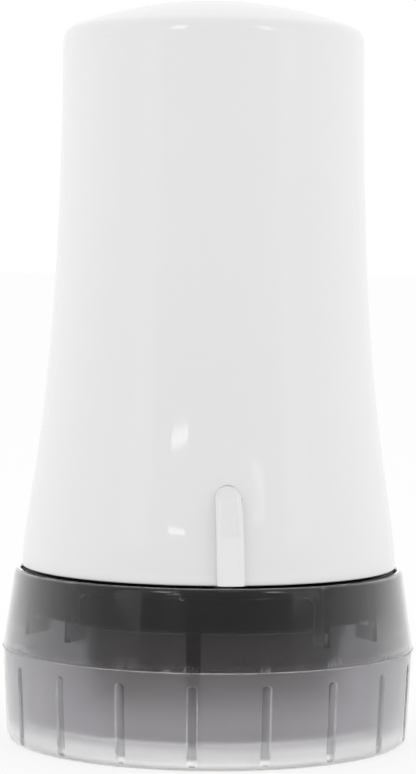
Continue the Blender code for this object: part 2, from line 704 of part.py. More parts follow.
def peg_row(half_width, z_low, z_high, x_low, x_high):
    """Two blocks that stand for the pegs, or for the holes that take them."""
    blocks = []
    for middle in (-PEG_OFFSET, PEG_OFFSET):
        blocks.append(block((x_low, x_high), (middle - half_width, middle + half_width),
                            (z_low, z_high)))
    return gathered(blocks)


def cartridge_frame(material):
    """Left cheek in one piece with the channel over the ink roller and the latch tongue."""
    body = prism(cheek_outline(), 'X', -CHEEK_OUTER_X, -CHEEK_X)
    piece = add_piece('cartridge_frame', body, material)
    cut_bearings(piece, -1)
    join_lug(piece, -1)
    channel = [
        (-GUARD_OUTER, GUARD_Z, 0),
        (-GUARD_INNER, GUARD_Z, 0),
        (-GUARD_INNER, PLATE_Z, 0),
        (GUARD_INNER, PLATE_Z, 0),
        (GUARD_INNER, GUARD_Z, 0),
        (GUARD_OUTER, GUARD_Z, 0),
        (GUARD_OUTER, PLATE_TOP_Z, PLATE_ROUNDING),
        (-GUARD_OUTER, PLATE_TOP_Z, PLATE_ROUNDING),
    ]
    channel_end = CHEEK_X - FIT_GAP
    join(piece, 'channel', prism(rounded(channel), 'X', -CHEEK_X - OVERLAP, channel_end))
    pegs = peg_row(PEG_WIDTH / 2, PEG_Z, PEG_TOP_Z, channel_end - OVERLAP, CHEEK_OUTER_X)
    join(piece, 'pegs', pegs)
    tongue_root = OVERLAP - GUARD_OUTER
    tongue = block((-TONGUE_HALF_WIDTH, TONGUE_HALF_WIDTH), (-TONGUE_REACH, tongue_root),
                   (PLATE_Z, PLATE_Z + TONGUE_THICKNESS))
    join(piece, 'tongue', tongue)
    gusset_top = PLATE_Z + TONGUE_THICKNESS / 2
    gusset = [
        (tongue_root, PLATE_Z - GUSSET_DEPTH),
        (tongue_root, gusset_top),
        (GUSSET_SETBACK - TONGUE_REACH, gusset_top),
        (GUSSET_SETBACK - TONGUE_REACH, PLATE_Z - OVERLAP),
    ]
    join(piece, 'gusset', prism(gusset, 'X', -GUSSET_HALF_WIDTH, GUSSET_HALF_WIDTH))
    return piece


def cartridge_side_plate(material):
    """Right cheek, put on last over the axles and the frame's pegs."""
    piece = add_piece('cartridge_side_plate', prism(cheek_outline(), 'X', CHEEK_X, CHEEK_OUTER_X),
                      material)
    cut_bearings(piece, 1)
    join_lug(piece, 1)
    holes = peg_row(PEG_WIDTH / 2 + FIT_GAP, PEG_Z - FIT_GAP, PEG_TOP_Z + FIT_GAP,
                    CHEEK_X - OVERRUN, CHEEK_OUTER_X + OVERRUN)
    cut(piece, 'peg_holes', holes)
    return piece


def chassis_profile():
    """Half section (radius, z) of the chassis ring before its openings are cut."""
    web_radius = OPENING_HALF_DEPTH - OVERRUN
    bead_low = BEAD_Z - BEAD_HALF_WIDTH
    bead_high = BEAD_Z + BEAD_HALF_WIDTH
    return [
        (SKIRT_INNER_RADIUS, SKIRT_Z),
        (SKIRT_RADIUS, SKIRT_Z),
        (SKIRT_RADIUS, DECK_TOP_Z),
        (spigot_radius(DECK_TOP_Z), DECK_TOP_Z),
        (spigot_radius(bead_low), bead_low),
        (spigot_radius(BEAD_Z) + BEAD_RISE, BEAD_Z),
        (spigot_radius(bead_high), bead_high),
        (spigot_radius(SPIGOT_TOP_Z), SPIGOT_TOP_Z),
        (spigot_radius(SPIGOT_TOP_Z) - SPIGOT_WALL, SPIGOT_TOP_Z),
        (spigot_radius(DECK_TOP_Z) - SPIGOT_WALL, DECK_TOP_Z),
        (web_radius, DECK_TOP_Z),
        (web_radius, DECK_Z),
        (SKIRT_INNER_RADIUS, DECK_Z),
    ]


def opening_outline():
    """Outline (x, y) of the cartridge's way through the deck, with a notch for its tongue."""
    notch_half = TONGUE_HALF_WIDTH + RUN_GAP
    notch_y = -TONGUE_REACH - RUN_GAP
    corners = [
        (notch_half, -OPENING_HALF_DEPTH, 0),
        (OPENING_HALF_WIDTH, -OPENING_HALF_DEPTH, OPENING_ROUNDING),
        (OPENING_HALF_WIDTH, OPENING_HALF_DEPTH, OPENING_ROUNDING),
        (-OPENING_HALF_WIDTH, OPENING_HALF_DEPTH, OPENING_ROUNDING),
        (-OPENING_HALF_WIDTH, -OPENING_HALF_DEPTH, OPENING_ROUNDING),
        (-notch_half, -OPENING_HALF_DEPTH, 0),
        (-notch_half, notch_y, 0),
        (notch_half, notch_y, 0),
    ]
    return rounded(corners, 4)


def chassis_ring(material):
    """Ring that joins housing, cartridge and cap, with rails, lever ears and locating notches."""
    piece = add_piece('chassis_ring', turned(chassis_profile(), 'Z', CHASSIS_FACETS), material)
    root_z = DECK_TOP_Z - OVERLAP
    rails = []
    for sign in (-1, 1):
        ends = sorted((sign * (OPENING_HALF_WIDTH - OVERLAP),
                       sign * (OPENING_HALF_WIDTH + RAIL_THICKNESS)))
        rails.append(block(ends, (-RAIL_HALF_WIDTH, RAIL_HALF_WIDTH), (root_z, RAIL_TOP_Z)))
    join(piece, 'rails', gathered(rails))
    ear = [(-PIVOT_REACH - EAR_RADIUS, root_z), (-PIVOT_REACH + EAR_RADIUS, root_z)]
    ear += arc((-PIVOT_REACH, PIVOT_Z), EAR_RADIUS, 0.0, math.pi, 8)
    ears = [prism(ear, 'X', EAR_X - OVERLAP, EAR_OUTER_X),
            prism(ear, 'X', -EAR_OUTER_X, OVERLAP - EAR_X)]
    join(piece, 'ears', gathered(ears))
    cut(piece, 'opening', prism(opening_outline(), 'Z', SKIRT_Z - OVERRUN, RAIL_TOP_Z + OVERRUN))
    well_back = EAR_RADIUS + LEVER_WELL_DEPTH - PIVOT_REACH
    well = block((-EAR_X, EAR_X), (-SKIRT_RADIUS - OVERRUN, well_back),
                 (DECK_TOP_Z - LEVER_WELL_DEPTH, PIVOT_Z + EAR_RADIUS + OVERRUN))
    cut(piece, 'lever_well', well)
    cut(piece, 'pin_bore', drill(PIVOT_BORE_RADIUS, -EAR_OUTER_X - OVERRUN, EAR_OUTER_X + OVERRUN,
                                 -PIVOT_REACH, PIVOT_Z))
    spring_half = LEVER_SPRING_THICKNESS / 2 + FIT_GAP
    spring_slot = block((-LEVER_SPRING_HALF_WIDTH - FIT_GAP, LEVER_SPRING_HALF_WIDTH + FIT_GAP),
                        (-PIVOT_REACH - spring_half, spring_half - PIVOT_REACH),
                        (DECK_TOP_Z - LEVER_SPRING_ROOT - FIT_GAP, DECK_TOP_Z + OVERRUN))
    cut(piece, 'spring_slot', spring_slot)
    notches = []
    notch_half = LOCATING_RIB_WIDTH / 2 + RUN_GAP
    notch_inner = spigot_radius(SPIGOT_TOP_Z) - SPIGOT_WALL - OVERRUN
    for sign in (-1, 1):
        ends = sorted((sign * notch_inner, sign * (SKIRT_RADIUS + OVERRUN)))
        notches.append(block(ends, (-notch_half, notch_half),
                             (LOCATING_RIB_Z - SEAT_GAP, SPIGOT_TOP_Z + OVERRUN)))
    cut(piece, 'locating_notches', gathered(notches))
    return piece


def lever_spring(material):
    """Steel leaf that stands in the deck and leans out behind the lever's finger."""
    root_z = DECK_TOP_Z - LEVER_SPRING_ROOT
    tip_z = DECK_TOP_Z + LEVER_SPRING_RISE
    bend_z = DECK_TOP_Z + FIT_GAP
    half = LEVER_SPRING_THICKNESS / 2
    rise = tip_z - bend_z
    radius = (rise ** 2 + LEVER_SPRING_LEAN ** 2) / (2 * LEVER_SPRING_LEAN)
    lean_angle = math.asin(rise / radius)
    centre = (-PIVOT_REACH - radius, bend_z)
    outline = [(half - PIVOT_REACH, root_z)]
    outline += arc(centre, radius + half, 0.0, lean_angle, 5)
    outline += arc(centre, radius - half, lean_angle, 0.0, 5)
    outline += [(-half - PIVOT_REACH, root_z)]
    body = prism(outline, 'X', -LEVER_SPRING_HALF_WIDTH, LEVER_SPRING_HALF_WIDTH)
    return add_piece('lever_spring', body, material)


def lever_pin(material):
    """Pin that the release lever turns on."""
    body = rod(LEVER_PIN_RADIUS, EAR_OUTER_X, AXLE_CHAMFER)
    return add_piece('lever_pin', moved_to(body, (0.0, -PIVOT_REACH, PIVOT_Z)), material)


def finger_section(z, half_width):
    """Level section of the finger: square at the flange, with rounded outer edges."""
    root = OVERLAP - flange_reach(z)
    face = -finger_reach(z)
    rounding = min(FINGER_ROUNDING, half_width * FINGER_ROUNDING_SHARE)
    corners = [
        (-half_width, root, 0),
        (-half_width, face, rounding),
        (half_width, face, rounding),
        (half_width, root, 0),
    ]
    return [(x, y, z) for x, y in rounded(corners)]


def finger_body():
    """Outside finger of the lever, lofted from level sections to a round top."""
    sections = []
    for step in range(5):
        sections.append((FINGER_Z + (FINGER_ROUND_Z - FINGER_Z) * step / 5, FINGER_HALF))
    for step in range(8):
        angle = math.pi / 2 * step / 8
        sections.append((FINGER_ROUND_Z + FINGER_HALF * math.sin(angle),
                         FINGER_HALF * math.cos(angle)))
    return lofted([finger_section(z, half_width) for z, half_width in sections])


def release_lever(material, axle):
    """Lever in the front of the housing: pressing the finger's foot swings the hook outward."""
    heights = [FLANGE_Z + (FLANGE_TOP_Z - FLANGE_Z) * step / 6 for step in range(7)]
    flange = [(-flange_reach(z), z) for z in heights]
    flange += [(FLANGE_THICKNESS - flange_reach(z), z) for z in reversed(heights)]
    body = prism(flange, 'X', -FLANGE_HALF_WIDTH, FLANGE_HALF_WIDTH)
    piece = add_piece('release_lever', body, material, axle)
    ramp_z = HOOK_TOP_Z - HOOK_TIP
    arm = [
        (-PIVOT_REACH, PIVOT_Z),
        (-PIVOT_REACH, HOOK_TOP_Z),
        (-HOOK_REACH, HOOK_TOP_Z),
        (-HOOK_REACH, ramp_z),
        (-ARM_REACH, ramp_z - HOOK_DEPTH),
        (-ARM_REACH, PIVOT_Z),
    ]
    join(piece, 'arm', prism(arm, 'X', -ARM_HALF_WIDTH, ARM_HALF_WIDTH))
    hub_radius = PIVOT_BORE_RADIUS + PIVOT_HUB_WALL
    hub = drill(hub_radius, -HUB_HALF_WIDTH, HUB_HALF_WIDTH, -PIVOT_REACH, PIVOT_Z)
    join(piece, 'hub', hub)
    join(piece, 'finger', finger_body())
    cut(piece, 'pin_bore', drill(PIVOT_BORE_RADIUS, -HUB_HALF_WIDTH - OVERRUN,
                                 HUB_HALF_WIDTH + OVERRUN, -PIVOT_REACH, PIVOT_Z))
    return piece


def crown(radius, corner_z, steps):
    """Points of a shallow crown, from inside its corner to its apex."""
    curve = (radius ** 2 + HOUSING_CROWN_RISE ** 2) / (2 * HOUSING_CROWN_RISE)
    half_angle = math.asin(radius / curve)
    centre_z = corner_z + HOUSING_CROWN_RISE - curve
    points = []
    for step in range(1, steps):
        angle = half_angle * (1 - step / steps)
        points.append((curve * math.sin(angle), centre_z + curve * math.cos(angle), 0))
    return points + [(0.0, corner_z + HOUSING_CROWN_RISE, 0)]


def housing_profile():
    """Half section (radius, z) of the housing, from its outer apex round to its inner apex."""
    outer = [(*side_point(step / 12), 0) for step in range(1, 12)]
    core_corner_z = HOUSING_CORNER_Z - HOUSING_WALL
    core_radius = housing_bore(core_corner_z)
    groove_low = BEAD_Z - BEAD_HALF_WIDTH
    groove_high = BEAD_Z + BEAD_HALF_WIDTH
    inner = [(housing_bore(HOUSING_Z), HOUSING_Z, 0),
             (housing_bore(groove_low), groove_low, 0),
             (housing_bore(BEAD_Z) + BEAD_RISE, BEAD_Z, 0)]
    for step in range(7):
        z = groove_high + (core_corner_z - groove_high) * step / 7
        inner.append((housing_bore(z), z, 0))
    corners = list(reversed(crown(HOUSING_TOP_RADIUS, HOUSING_CORNER_Z, 5)))
    corners.append((HOUSING_TOP_RADIUS, HOUSING_CORNER_Z, HOUSING_CORNER_ROUNDING))
    corners += reversed(outer)
    corners.append((HOUSING_FOOT_RADIUS, HOUSING_Z, HOUSING_FOOT_ROUNDING))
    corners += inner
    corners.append((core_radius, core_corner_z, HOUSING_CORE_ROUNDING))
    corners += crown(core_radius, core_corner_z, 4)
    return rounded(corners, 2)


def housing_shell(material):
    """Bell-shaped housing with the lever's slot and two ribs that locate the chassis ring."""
    piece = add_piece('housing_shell', turned(housing_profile(), 'Z', HOUSING_FACETS), material)
    ribs = []
    for sign in (-1, 1):
        ends = sorted((sign * (housing_bore(HOUSING_Z) - LOCATING_RIB_DEPTH),
                       sign * (housing_bore(HOUSING_Z) + OVERLAP)))
        ribs.append(block(ends, (-LOCATING_RIB_WIDTH / 2, LOCATING_RIB_WIDTH / 2),
                          (LOCATING_RIB_Z, LOCATING_RIB_Z + LOCATING_RIB_HEIGHT)))
    join(piece, 'locating_ribs', gathered(ribs))
    slot = [(-SLOT_HALF, HOUSING_Z - OVERRUN), (SLOT_HALF, HOUSING_Z - OVERRUN)]
    slot += arc((0.0, FINGER_ROUND_Z), SLOT_HALF, 0.0, math.pi, 10)
    cut(piece, 'lever_slot', prism(slot, 'Y', -HOUSING_FOOT_RADIUS - OVERRUN, -PIVOT_REACH))
    return piece


def cap_profile():
    """Half section (radius, z) of the cap, from under its floor round to the floor's top."""
    foot_radius = CAP_BASE_RADIUS - CAP_FOOT_WIDTH
    corners = [
        (0.0, CAP_FOOT_HEIGHT, 0),
        (foot_radius, CAP_FOOT_HEIGHT, 0),
        (foot_radius, 0.0, 0),
        (CAP_BASE_RADIUS, 0.0, CAP_BOTTOM_ROUNDING),
        (CAP_LOWER_RADIUS, CAP_PARTING_HEIGHT, 0),
        (CAP_RADIUS, CAP_PARTING_HEIGHT, 0),
        (RIM_RADIUS, CAP_TOP_Z, RIM_ROUNDING),
        (CAP_BORE_RADIUS, CAP_TOP_Z, RIM_ROUNDING),
        (CAP_CORE_RADIUS, CAP_FLOOR_Z, CAP_CORE_ROUNDING),
        (0.0, CAP_FLOOR_Z, 0),
    ]
    return rounded(corners)


def groove_cutters():
    """Upright round-topped cutters for the grip grooves, all round the cap."""
    profile = [(0.0, -OVERRUN), (GROOVE_RADIUS, -OVERRUN)]
    profile += [(radius, z) for radius, z in
                arc((0.0, GROOVE_TOP_Z - GROOVE_RADIUS), GROOVE_RADIUS, 0.0, math.pi / 2, 3)[:-1]]
    profile.append((0.0, GROOVE_TOP_Z))
    cutters = []
    for index in range(GROOVE_COUNT):
        cutter = moved_to(turned(profile, 'Z', GROOVE_FACETS), (0.0, -GROOVE_REACH, 0.0))
        cutters.append(turned_by(cutter, CAP_TURN + 2 * math.pi * index / GROOVE_COUNT))
    return gathered(cutters)


def radial_ribs(outline, width, angles):
    """Ribs with an outline (reach, z), turned to their angles round the cap."""
    ribs = []
    for angle in angles:
        rib = prism([(-reach, z) for reach, z in outline], 'X', -width / 2, width / 2)
        ribs.append(turned_by(rib, CAP_TURN + angle))
    return gathered(ribs)


def cap_pad(angle):
    """Thin raised pad inside the cap's bore, with rounded corners."""
    inner = CAP_BORE_RADIUS - PAD_THICKNESS
    top_z = CAP_TOP_Z - PAD_TOP_GAP
    low_z = top_z - PAD_HEIGHT
    corner_angle = PAD_ROUNDING / CAP_BORE_RADIUS
    steps = 3
    ends = [(PAD_HALF_ANGLE - corner_angle + corner_angle * math.sin(math.pi / 2 * step / steps),
             PAD_ROUNDING * (1 - math.cos(math.pi / 2 * step / steps))) for step in range(steps + 1)]
    middle = [(PAD_HALF_ANGLE * share / 6, 0.0) for share in range(-5, 6)]
    stations = [(-side, trim) for side, trim in reversed(ends)] + middle + ends
    sections = []
    for side, trim in stations:
        sine, cosine = math.sin(side), math.cos(side)
        sections.append([(reach * sine, -reach * cosine, z) for reach, z in
                         rectangle(inner, CAP_RIB_ROOT, low_z + trim, top_z - trim)])
    return turned_by(lofted(sections), CAP_TURN + angle)


def cap(material):
    """See-through cap with grip grooves outside and ribs, stops, keys and pads inside."""
    body = turned(cap_profile(), 'Z', CAP_FACETS, CAP_TURN)
    piece = add_piece('cap', body, material)
    cut(piece, 'grip_grooves', groove_cutters())
    rib_top_z = CAP_TOP_Z - CAP_RIB_TOP_GAP
    rib = [
        (CAP_RIB_ROOT, STOP_Z),
        (CAP_RIB_ROOT, rib_top_z),
        (CAP_RIB_REACH, rib_top_z),
        (CAP_RIB_REACH, STOP_TOP_Z),
        (STOP_REACH, STOP_TOP_Z),
        (STOP_REACH, STOP_Z),
    ]
    join(piece, 'ribs', radial_ribs(rib, CAP_RIB_WIDTH, CAP_RIB_ANGLES))
    join(piece, 'pads', gathered([cap_pad(angle) for angle in KEY_RIB_ANGLES]))
    key_top_z = CAP_TOP_Z - KEY_RIB_TOP_GAP
    key = [
        (CAP_RIB_ROOT, CAP_FLOOR_Z - OVERLAP),
        (CAP_RIB_ROOT, key_top_z),
        (CAP_RIB_REACH, key_top_z),
        (CAP_RIB_REACH, STOP_TOP_Z),
        (KEY_RIB_REACH, STOP_TOP_Z),
        (KEY_RIB_REACH, CAP_FLOOR_Z - OVERLAP),
    ]
    join(piece, 'key_ribs', radial_ribs(key, KEY_RIB_WIDTH, KEY_RIB_ANGLES))
    return piece


def main():
    """Clear the scene and build every piece."""
    for item in list(bpy.data.objects):
        bpy.data.objects.remove(item)

    white = make_material('white_plastic', (0.86, 0.86, 0.86), 0.2)
    black = make_material('black_plastic', (0.03, 0.03, 0.032), 0.4)
    grey = make_material('grey_plastic', (0.2, 0.2, 0.21), 0.45)
    smoke = make_material('smoke_plastic', (0.3, 0.29, 0.31), 0.15, alpha=0.5)
    steel = make_material('steel', (0.6, 0.6, 0.6), 0.3, metallic=1.0)
    rubber = make_material('stamp_rubber', (0.35, 0.1, 0.08), 0.7)
    foam = make_material('ink_foam', (0.02, 0.02, 0.025), 0.9)

    stamp_spindle = add_axle('stamp_roller_axis', (0.0, 0.0, STAMP_Z))
    ink_spindle = add_axle('ink_roller_axis', (0.0, 0.0, INK_Z))
    lever_pivot = add_axle('release_lever_axis', (0.0, -PIVOT_REACH, PIVOT_Z))

    housing_shell(white)
    chassis_ring(black)
    release_lever(white, lever_pivot)
    lever_pin(steel)
    lever_spring(steel)
    cartridge_frame(grey)
    cartridge_side_plate(grey)
    stamp_axle(steel)
    drum_core(grey, stamp_spindle)
    die_sleeve(rubber, stamp_spindle)
    ink_axle(steel)
    ink_core(grey, ink_spindle)
    ink_sleeve(foam, ink_spindle)
    for side, sign in (('left', -1), ('right', 1)):
        axle_clip(side, sign, steel)
        drum_end_cap(side, sign, grey, stamp_spindle)
        ink_spring(side, sign, steel)
    cap(smoke)


main()
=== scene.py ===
"""Privacy roller stamp, dressed round its packed CAD frame.

Laid out as a Blender add-on: the sizes and colours are properties, each piece is an operator,
and the panel in the 3D view's sidebar lists them. Run as a script, it models every piece in turn.
Lengths are in metres. -Y is the front, with the release lever, and +Z is up.
"""

import json
import math

import bmesh
import bpy
from bpy.props import FloatProperty, FloatVectorProperty, IntProperty, PointerProperty
from mathutils import Matrix, Quaternion, Vector


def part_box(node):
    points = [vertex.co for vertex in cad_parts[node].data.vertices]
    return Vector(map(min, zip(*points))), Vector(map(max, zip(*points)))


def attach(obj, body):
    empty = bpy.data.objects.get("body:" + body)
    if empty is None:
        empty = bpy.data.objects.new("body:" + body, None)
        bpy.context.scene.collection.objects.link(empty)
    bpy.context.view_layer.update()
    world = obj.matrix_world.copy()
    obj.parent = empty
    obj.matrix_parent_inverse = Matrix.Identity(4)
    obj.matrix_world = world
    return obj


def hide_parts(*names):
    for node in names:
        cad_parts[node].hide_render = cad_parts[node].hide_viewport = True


bl_info = {
    'name': 'Privacy roller stamp',
    'version': (1, 0, 0),
    'blender': (4, 5, 0),
    'location': 'View3D > Sidebar > Roller stamp',
    'description': 'Models a hand-held privacy roller stamp with its smoke cap, and a pale studio',
    'category': 'Add Mesh',
}

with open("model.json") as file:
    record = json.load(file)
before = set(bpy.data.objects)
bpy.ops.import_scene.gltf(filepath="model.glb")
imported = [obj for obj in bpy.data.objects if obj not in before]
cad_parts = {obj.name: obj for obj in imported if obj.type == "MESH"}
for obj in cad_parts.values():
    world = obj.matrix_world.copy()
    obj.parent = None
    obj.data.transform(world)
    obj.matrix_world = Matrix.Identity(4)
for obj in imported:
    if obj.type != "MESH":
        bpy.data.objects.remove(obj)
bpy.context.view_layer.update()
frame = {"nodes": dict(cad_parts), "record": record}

MM = 0.001
TINY = 1e-6
X_AXIS, Y_AXIS, Z_AXIS = range(3)
# Share of half a bar's width by which a bevel makes its end round and still leaves it an edge
FULL_ROUND = 0.9999

HOUSING_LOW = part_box('housing_shell')[0]
CAP_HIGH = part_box('cap')[1]
DIE_LOW, DIE_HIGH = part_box('die_sleeve')
INK_LOW, INK_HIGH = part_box('ink_sleeve')
CHEEK_LOW, CHEEK_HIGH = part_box('cartridge_side_plate')
CHASSIS_LOW, CHASSIS_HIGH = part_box('chassis_ring')
STAMP_HEIGHT = (DIE_LOW.z + DIE_HIGH.z) / 2
INK_HEIGHT = (INK_LOW.z + INK_HIGH.z) / 2
PIVOT = next(joint['pos_m'] for joint in frame['record']['behaviour']['joints']
             if joint['name'] == 'release_lever_press')

# Cartridge: inner face and wall of a cheek, and underside of the plate over the ink roller
CHEEK_X = CHEEK_LOW.x
CHEEK_WALL = 1.1 * MM
CHEEK_END = CHEEK_X + CHEEK_WALL
PLATE_Z = 30.8 * MM
TONGUE_ROOT = -5.5 * MM

# Chassis: top of its deck, and how deep what stands on the deck is rooted in it
DECK_TOP = 17.9 * MM
ROOT = 0.4 * MM

# Lever: share of its mean width that the finger has at its foot, share of its height at which
# it leans about, and the arm that carries the hook
FINGER_FOOT_WIDTH = 1.02
FINGER_MIDDLE = 0.55
ARM_HALF = 1.8 * MM
ARM_BACK = -14.1 * MM
ARM_TOP = 30.5 * MM

# Housing: handles of the curve of its side, as shares of its height
LOWER_HANDLE = 6.7 / 55.5
UPPER_HANDLE = 40.1 / 55.5

# Snap groove in the housing and bead on the chassis: middle, half height, depth, and depth of
# the groove half way to its edge
SNAP_HEIGHT = 21.5 * MM
SNAP_HALF = 0.6 * MM
SNAP_DEPTH = 0.35 * MM
SNAP_SHOULDER = 0.22 * MM

# Cap: its turn from the front in degrees, the draft of its bore, and its step at the parting line
CAP_TURN = -10.0
CAP_FLOOR = 2.2 * MM
CORE_DRAFT = 0.3 * MM
PARTING_STEP = 0.12 * MM
PARTING_EDGE = 0.03 * MM
PAD_LOW = 13.4 * MM
PAD_HIGH = 16.9 * MM
PAD_HALF_ANGLE = 36.0

# Centring ribs and key ribs in the bore: angles, distance of their faces from the axis, half
# widths, heights of foot and top, and the deeper feet, which stop the chassis skirt
RIB_ANGLES = (40, 60, 120, 140, 220, 240, 300, 320)
RIB_REACH = 19.1942 * MM
RIB_HALF = 0.4 * MM
RIB_HEIGHTS = (11.7 * MM, 17.4 * MM)
RIB_FOOT_REACH = 17.8942 * MM
KEY_ANGLES = (0, 180)
KEY_HALF = 0.7 * MM
KEY_HEIGHTS = (13.0 * MM, 17.0 * MM)
KEY_FOOT_REACH = 18.5942 * MM
SKIRT_STOP = 13.1 * MM

# Grip grooves: gap between their round tops and the parting line, half the angle that a groove
# takes, height of its run-out at the foot, easing of its rim, and how steeply its flank leaves it
GROOVE_TOP_GAP = 1.2 * MM
GROOVE_HALF_ANGLE = 2.3
GROOVE_RUN_OUT = 0.7 * MM
GROOVE_EASE = 0.035 * MM
GROOVE_FLANK = 1.5
# Angles in degrees, from a grip groove's middle, at which the cap's wall has vertices
GROOVE_COLUMNS = [0.0, 0.3, 0.55, 0.75, 0.95, 1.12, 1.28, 1.42, 1.56, 1.72, 2.0, 2.6, 4.0, 5.5,
                  7.0, 8.5, 10.0]
# Heights in millimetres at which the grip has a ring of vertices
GRIP_RINGS = [1.5, 2.5, 4.0, 5.5, 6.8, 7.6, 7.95, 8.1, 8.2, 8.28, 8.35, 8.42, 8.48, 8.53, 8.57,
              8.6, 8.7, 9.2]
# Gain of the cap's tint up its height, lightened toward the foot as painted light from below, and
# of the painted glow that the cap's emission gives off
TINT_AND_PAINTED_LIGHT_BELOW = [(0.0, 3.4), (1.5 * MM, 3.35), (2.7 * MM, 2.05), (5.0 * MM, 2.0)]
TINT_AT_PARTING = (1.95, 0.74)
TINT_ABOVE = (12.6 * MM, 0.68)
TINT_AT_RIM = 0.8
PAINTED_GLOW_BELOW = [(0.0, 0.0), (0.6 * MM, 0.15), (1.2 * MM, 1.0), (1.6 * MM, 1.0), (2.5 * MM, 0.0)]
PAINTED_GLOW_AT_PARTING = (0.0, 0.58)
PAINTED_GLOW_ABOVE = [(12.6 * MM, 0.42), (14.5 * MM, 0.0)]
BRIGHTEST_TINT = 0.995
RIB_TINT = 0.25
# Gain of the painted shade on the floors of the grip grooves
GROOVE_PAINTED_SHADE = 1.1
GROOVE_MIST = 0.7
CLEAR_ROUGHNESS = 0.16
MIST_ROUGHNESS = 0.42
# Strength of the painted glow, and the height under which it covers the whole cap
PAINTED_GLOW_LEVEL = 0.1
PAINTED_GLOW_FOOT = 5.0 * MM

# Where the cap's finish finds its parts: depths inside the bore at which ribs and the inner wall
# set in, the inner wall taking the painted glow, heights at which the ribs darken, and the floors
# of the grooves, with their foot, which take painted shade
RIB_DEPTHS = (0.06 * MM, 0.14 * MM)
RIB_SHADE_HEIGHTS = (3.9 * MM, 9.0 * MM)
INNER_WALL_DEPTHS = (-0.25 * MM, -0.1 * MM)
GROOVE_FLOOR_DEPTH = 0.32 * MM
GROOVE_FLOOR_BAND = 0.2 * MM
GROOVE_FOOT_HEIGHTS = (1.0 * MM, 1.3 * MM)
GROOVE_SHADE_GAP = 1.0 * MM

# Frosted finish: reach of the flash, and the rims of the grooves and of the pads, on which the same
# pale material paints highlights
FLASH_HALF_HEIGHT = 0.075 * MM
FLASH_DEPTH = 0.2 * MM
GROOVE_RIM_FOOT = 1.3 * MM
GROOVE_RIM_GAP = 1.15 * MM
GROOVE_RIM_ANGLE = 1.65
GROOVE_RIM_DEPTHS = (0.006 * MM, 0.17 * MM)
PAD_RIM_ANGLES = (3.0, PAD_HALF_ANGLE + 1.5)
PAD_RIM_MARGIN = 0.1 * MM
PAD_RIM_DEPTHS = (0.02 * MM, 0.19 * MM)
PAD_RIM_SLOPE = 0.6

WHITE = (1.0, 1.0, 1.0, 1.0)
INK_BLACK = (0.012, 0.011, 0.014, 1.0)
FLOOR_WHITE = (0.96, 0.96, 0.96, 1.0)
FLOOR_GLOW = 0.8
LAMP_DISTANCE = 0.7
LAMP_AIM = Vector((0, 0, 0.035))
# Each lamp's turn from the front and height in degrees, its width and height, and its brightness
LAMPS = {
    'left_strip': (-25.8, 9.8, (0.13, 0.006), 4.0),
    'right_strip': (25.1, 10.4, (0.10, 0.006), 1.3),
    'left_window': (-35.0, 38.0, (0.12, 0.28), 3.0),
    'right_window': (38.0, 38.0, (0.10, 0.28), 2.6),
    'left_softbox': (-53.0, 22.0, (0.22, 0.40), 0.35),
    'right_softbox': (52.0, 22.0, (0.22, 0.40), 0.35),
}

# The finish that each material slot of the record has
SLOT_FINISHES = {
    'white_plastic': 'Gloss white plastic',
    'black_plastic': 'Satin black plastic',
    'grey_plastic': 'Satin grey plastic',
    'smoke_plastic': 'Smoke plastic',
    'steel': 'Bright steel',
    'stamp_rubber': 'Stamp rubber',
    'ink_foam': 'Ink foam',
}


# Sizes and colours


def length_property(name, description, default):
    """A size that the user can change."""
    return FloatProperty(name=name, description=description, default=default, unit='LENGTH')


def turn_property(name, description, degrees):
    """An angle that the user can change."""
    return FloatProperty(name=name, description=description, default=math.radians(degrees),
                         subtype='ANGLE', unit='ROTATION')


def number_property(name, description, default):
    """A plain number, such as a share or a strength, that the user can change."""
    return FloatProperty(name=name, description=description, default=default)


def colour_property(name, description, default):
    """A colour that the user can change."""
    return FloatVectorProperty(name=name, description=description, default=default,
                               subtype='COLOR', min=0.0, max=1.0)


class HousingSizes(bpy.types.PropertyGroup):
    """Sizes of the bell-shaped housing."""

    foot_radius: length_property('Foot radius', 'Outer radius at the open foot', 19.5442 * MM)
    flare: length_property('Flare', 'How much the foot is wider than the top', 3.87 * MM)
    foot_height: length_property('Foot height', 'Height of the foot over the ground', HOUSING_LOW.z)
    corner_height: length_property(
        'Corner height', 'Height at which the side meets the crown', HOUSING_LOW.z + 55.7 * MM)
    crown_rise: length_property('Crown rise', 'Rise of the crown over its corner', 3.1 * MM)
    wall: length_property('Wall', 'Thickness of the moulded wall', 1.5 * MM)
    slot_gap: length_property(
        'Slot gap', 'Gap between the slot and the finger of the release lever', 0.004 * MM)


class CapSizes(bpy.types.PropertyGroup):
    """Sizes of the smoke cap."""

    radius: length_property('Radius', 'Largest radius, just over the parting line', 21.5042 * MM)
    rim_radius: length_property('Rim radius', 'Outer radius at the rim', 20.2442 * MM)
    base_radius: length_property(
        'Base radius', 'Outer radius just over the rounded foot', 20.9242 * MM)
    height: length_property('Height', 'Height of the rim over the ground', CAP_HIGH.z + 0.08 * MM)
    parting_height: length_property('Parting height', 'Height of the parting line', 9.8 * MM)
    bore_radius: length_property('Bore radius', 'Radius of the bore at the rim', 19.6942 * MM)
    groove_radius: length_property(
        'Groove radius', 'Radius of the round tool that cuts a grip groove', 0.56 * MM)
    groove_depth: length_property('Groove depth', 'Depth of a grip groove', 0.38 * MM)
    groove_foot: length_property('Groove foot', 'Height at which a grip groove begins', 0.1 * MM)
    groove_count: IntProperty(
        name='Grooves', description='Number of grip grooves round the cap', default=18)


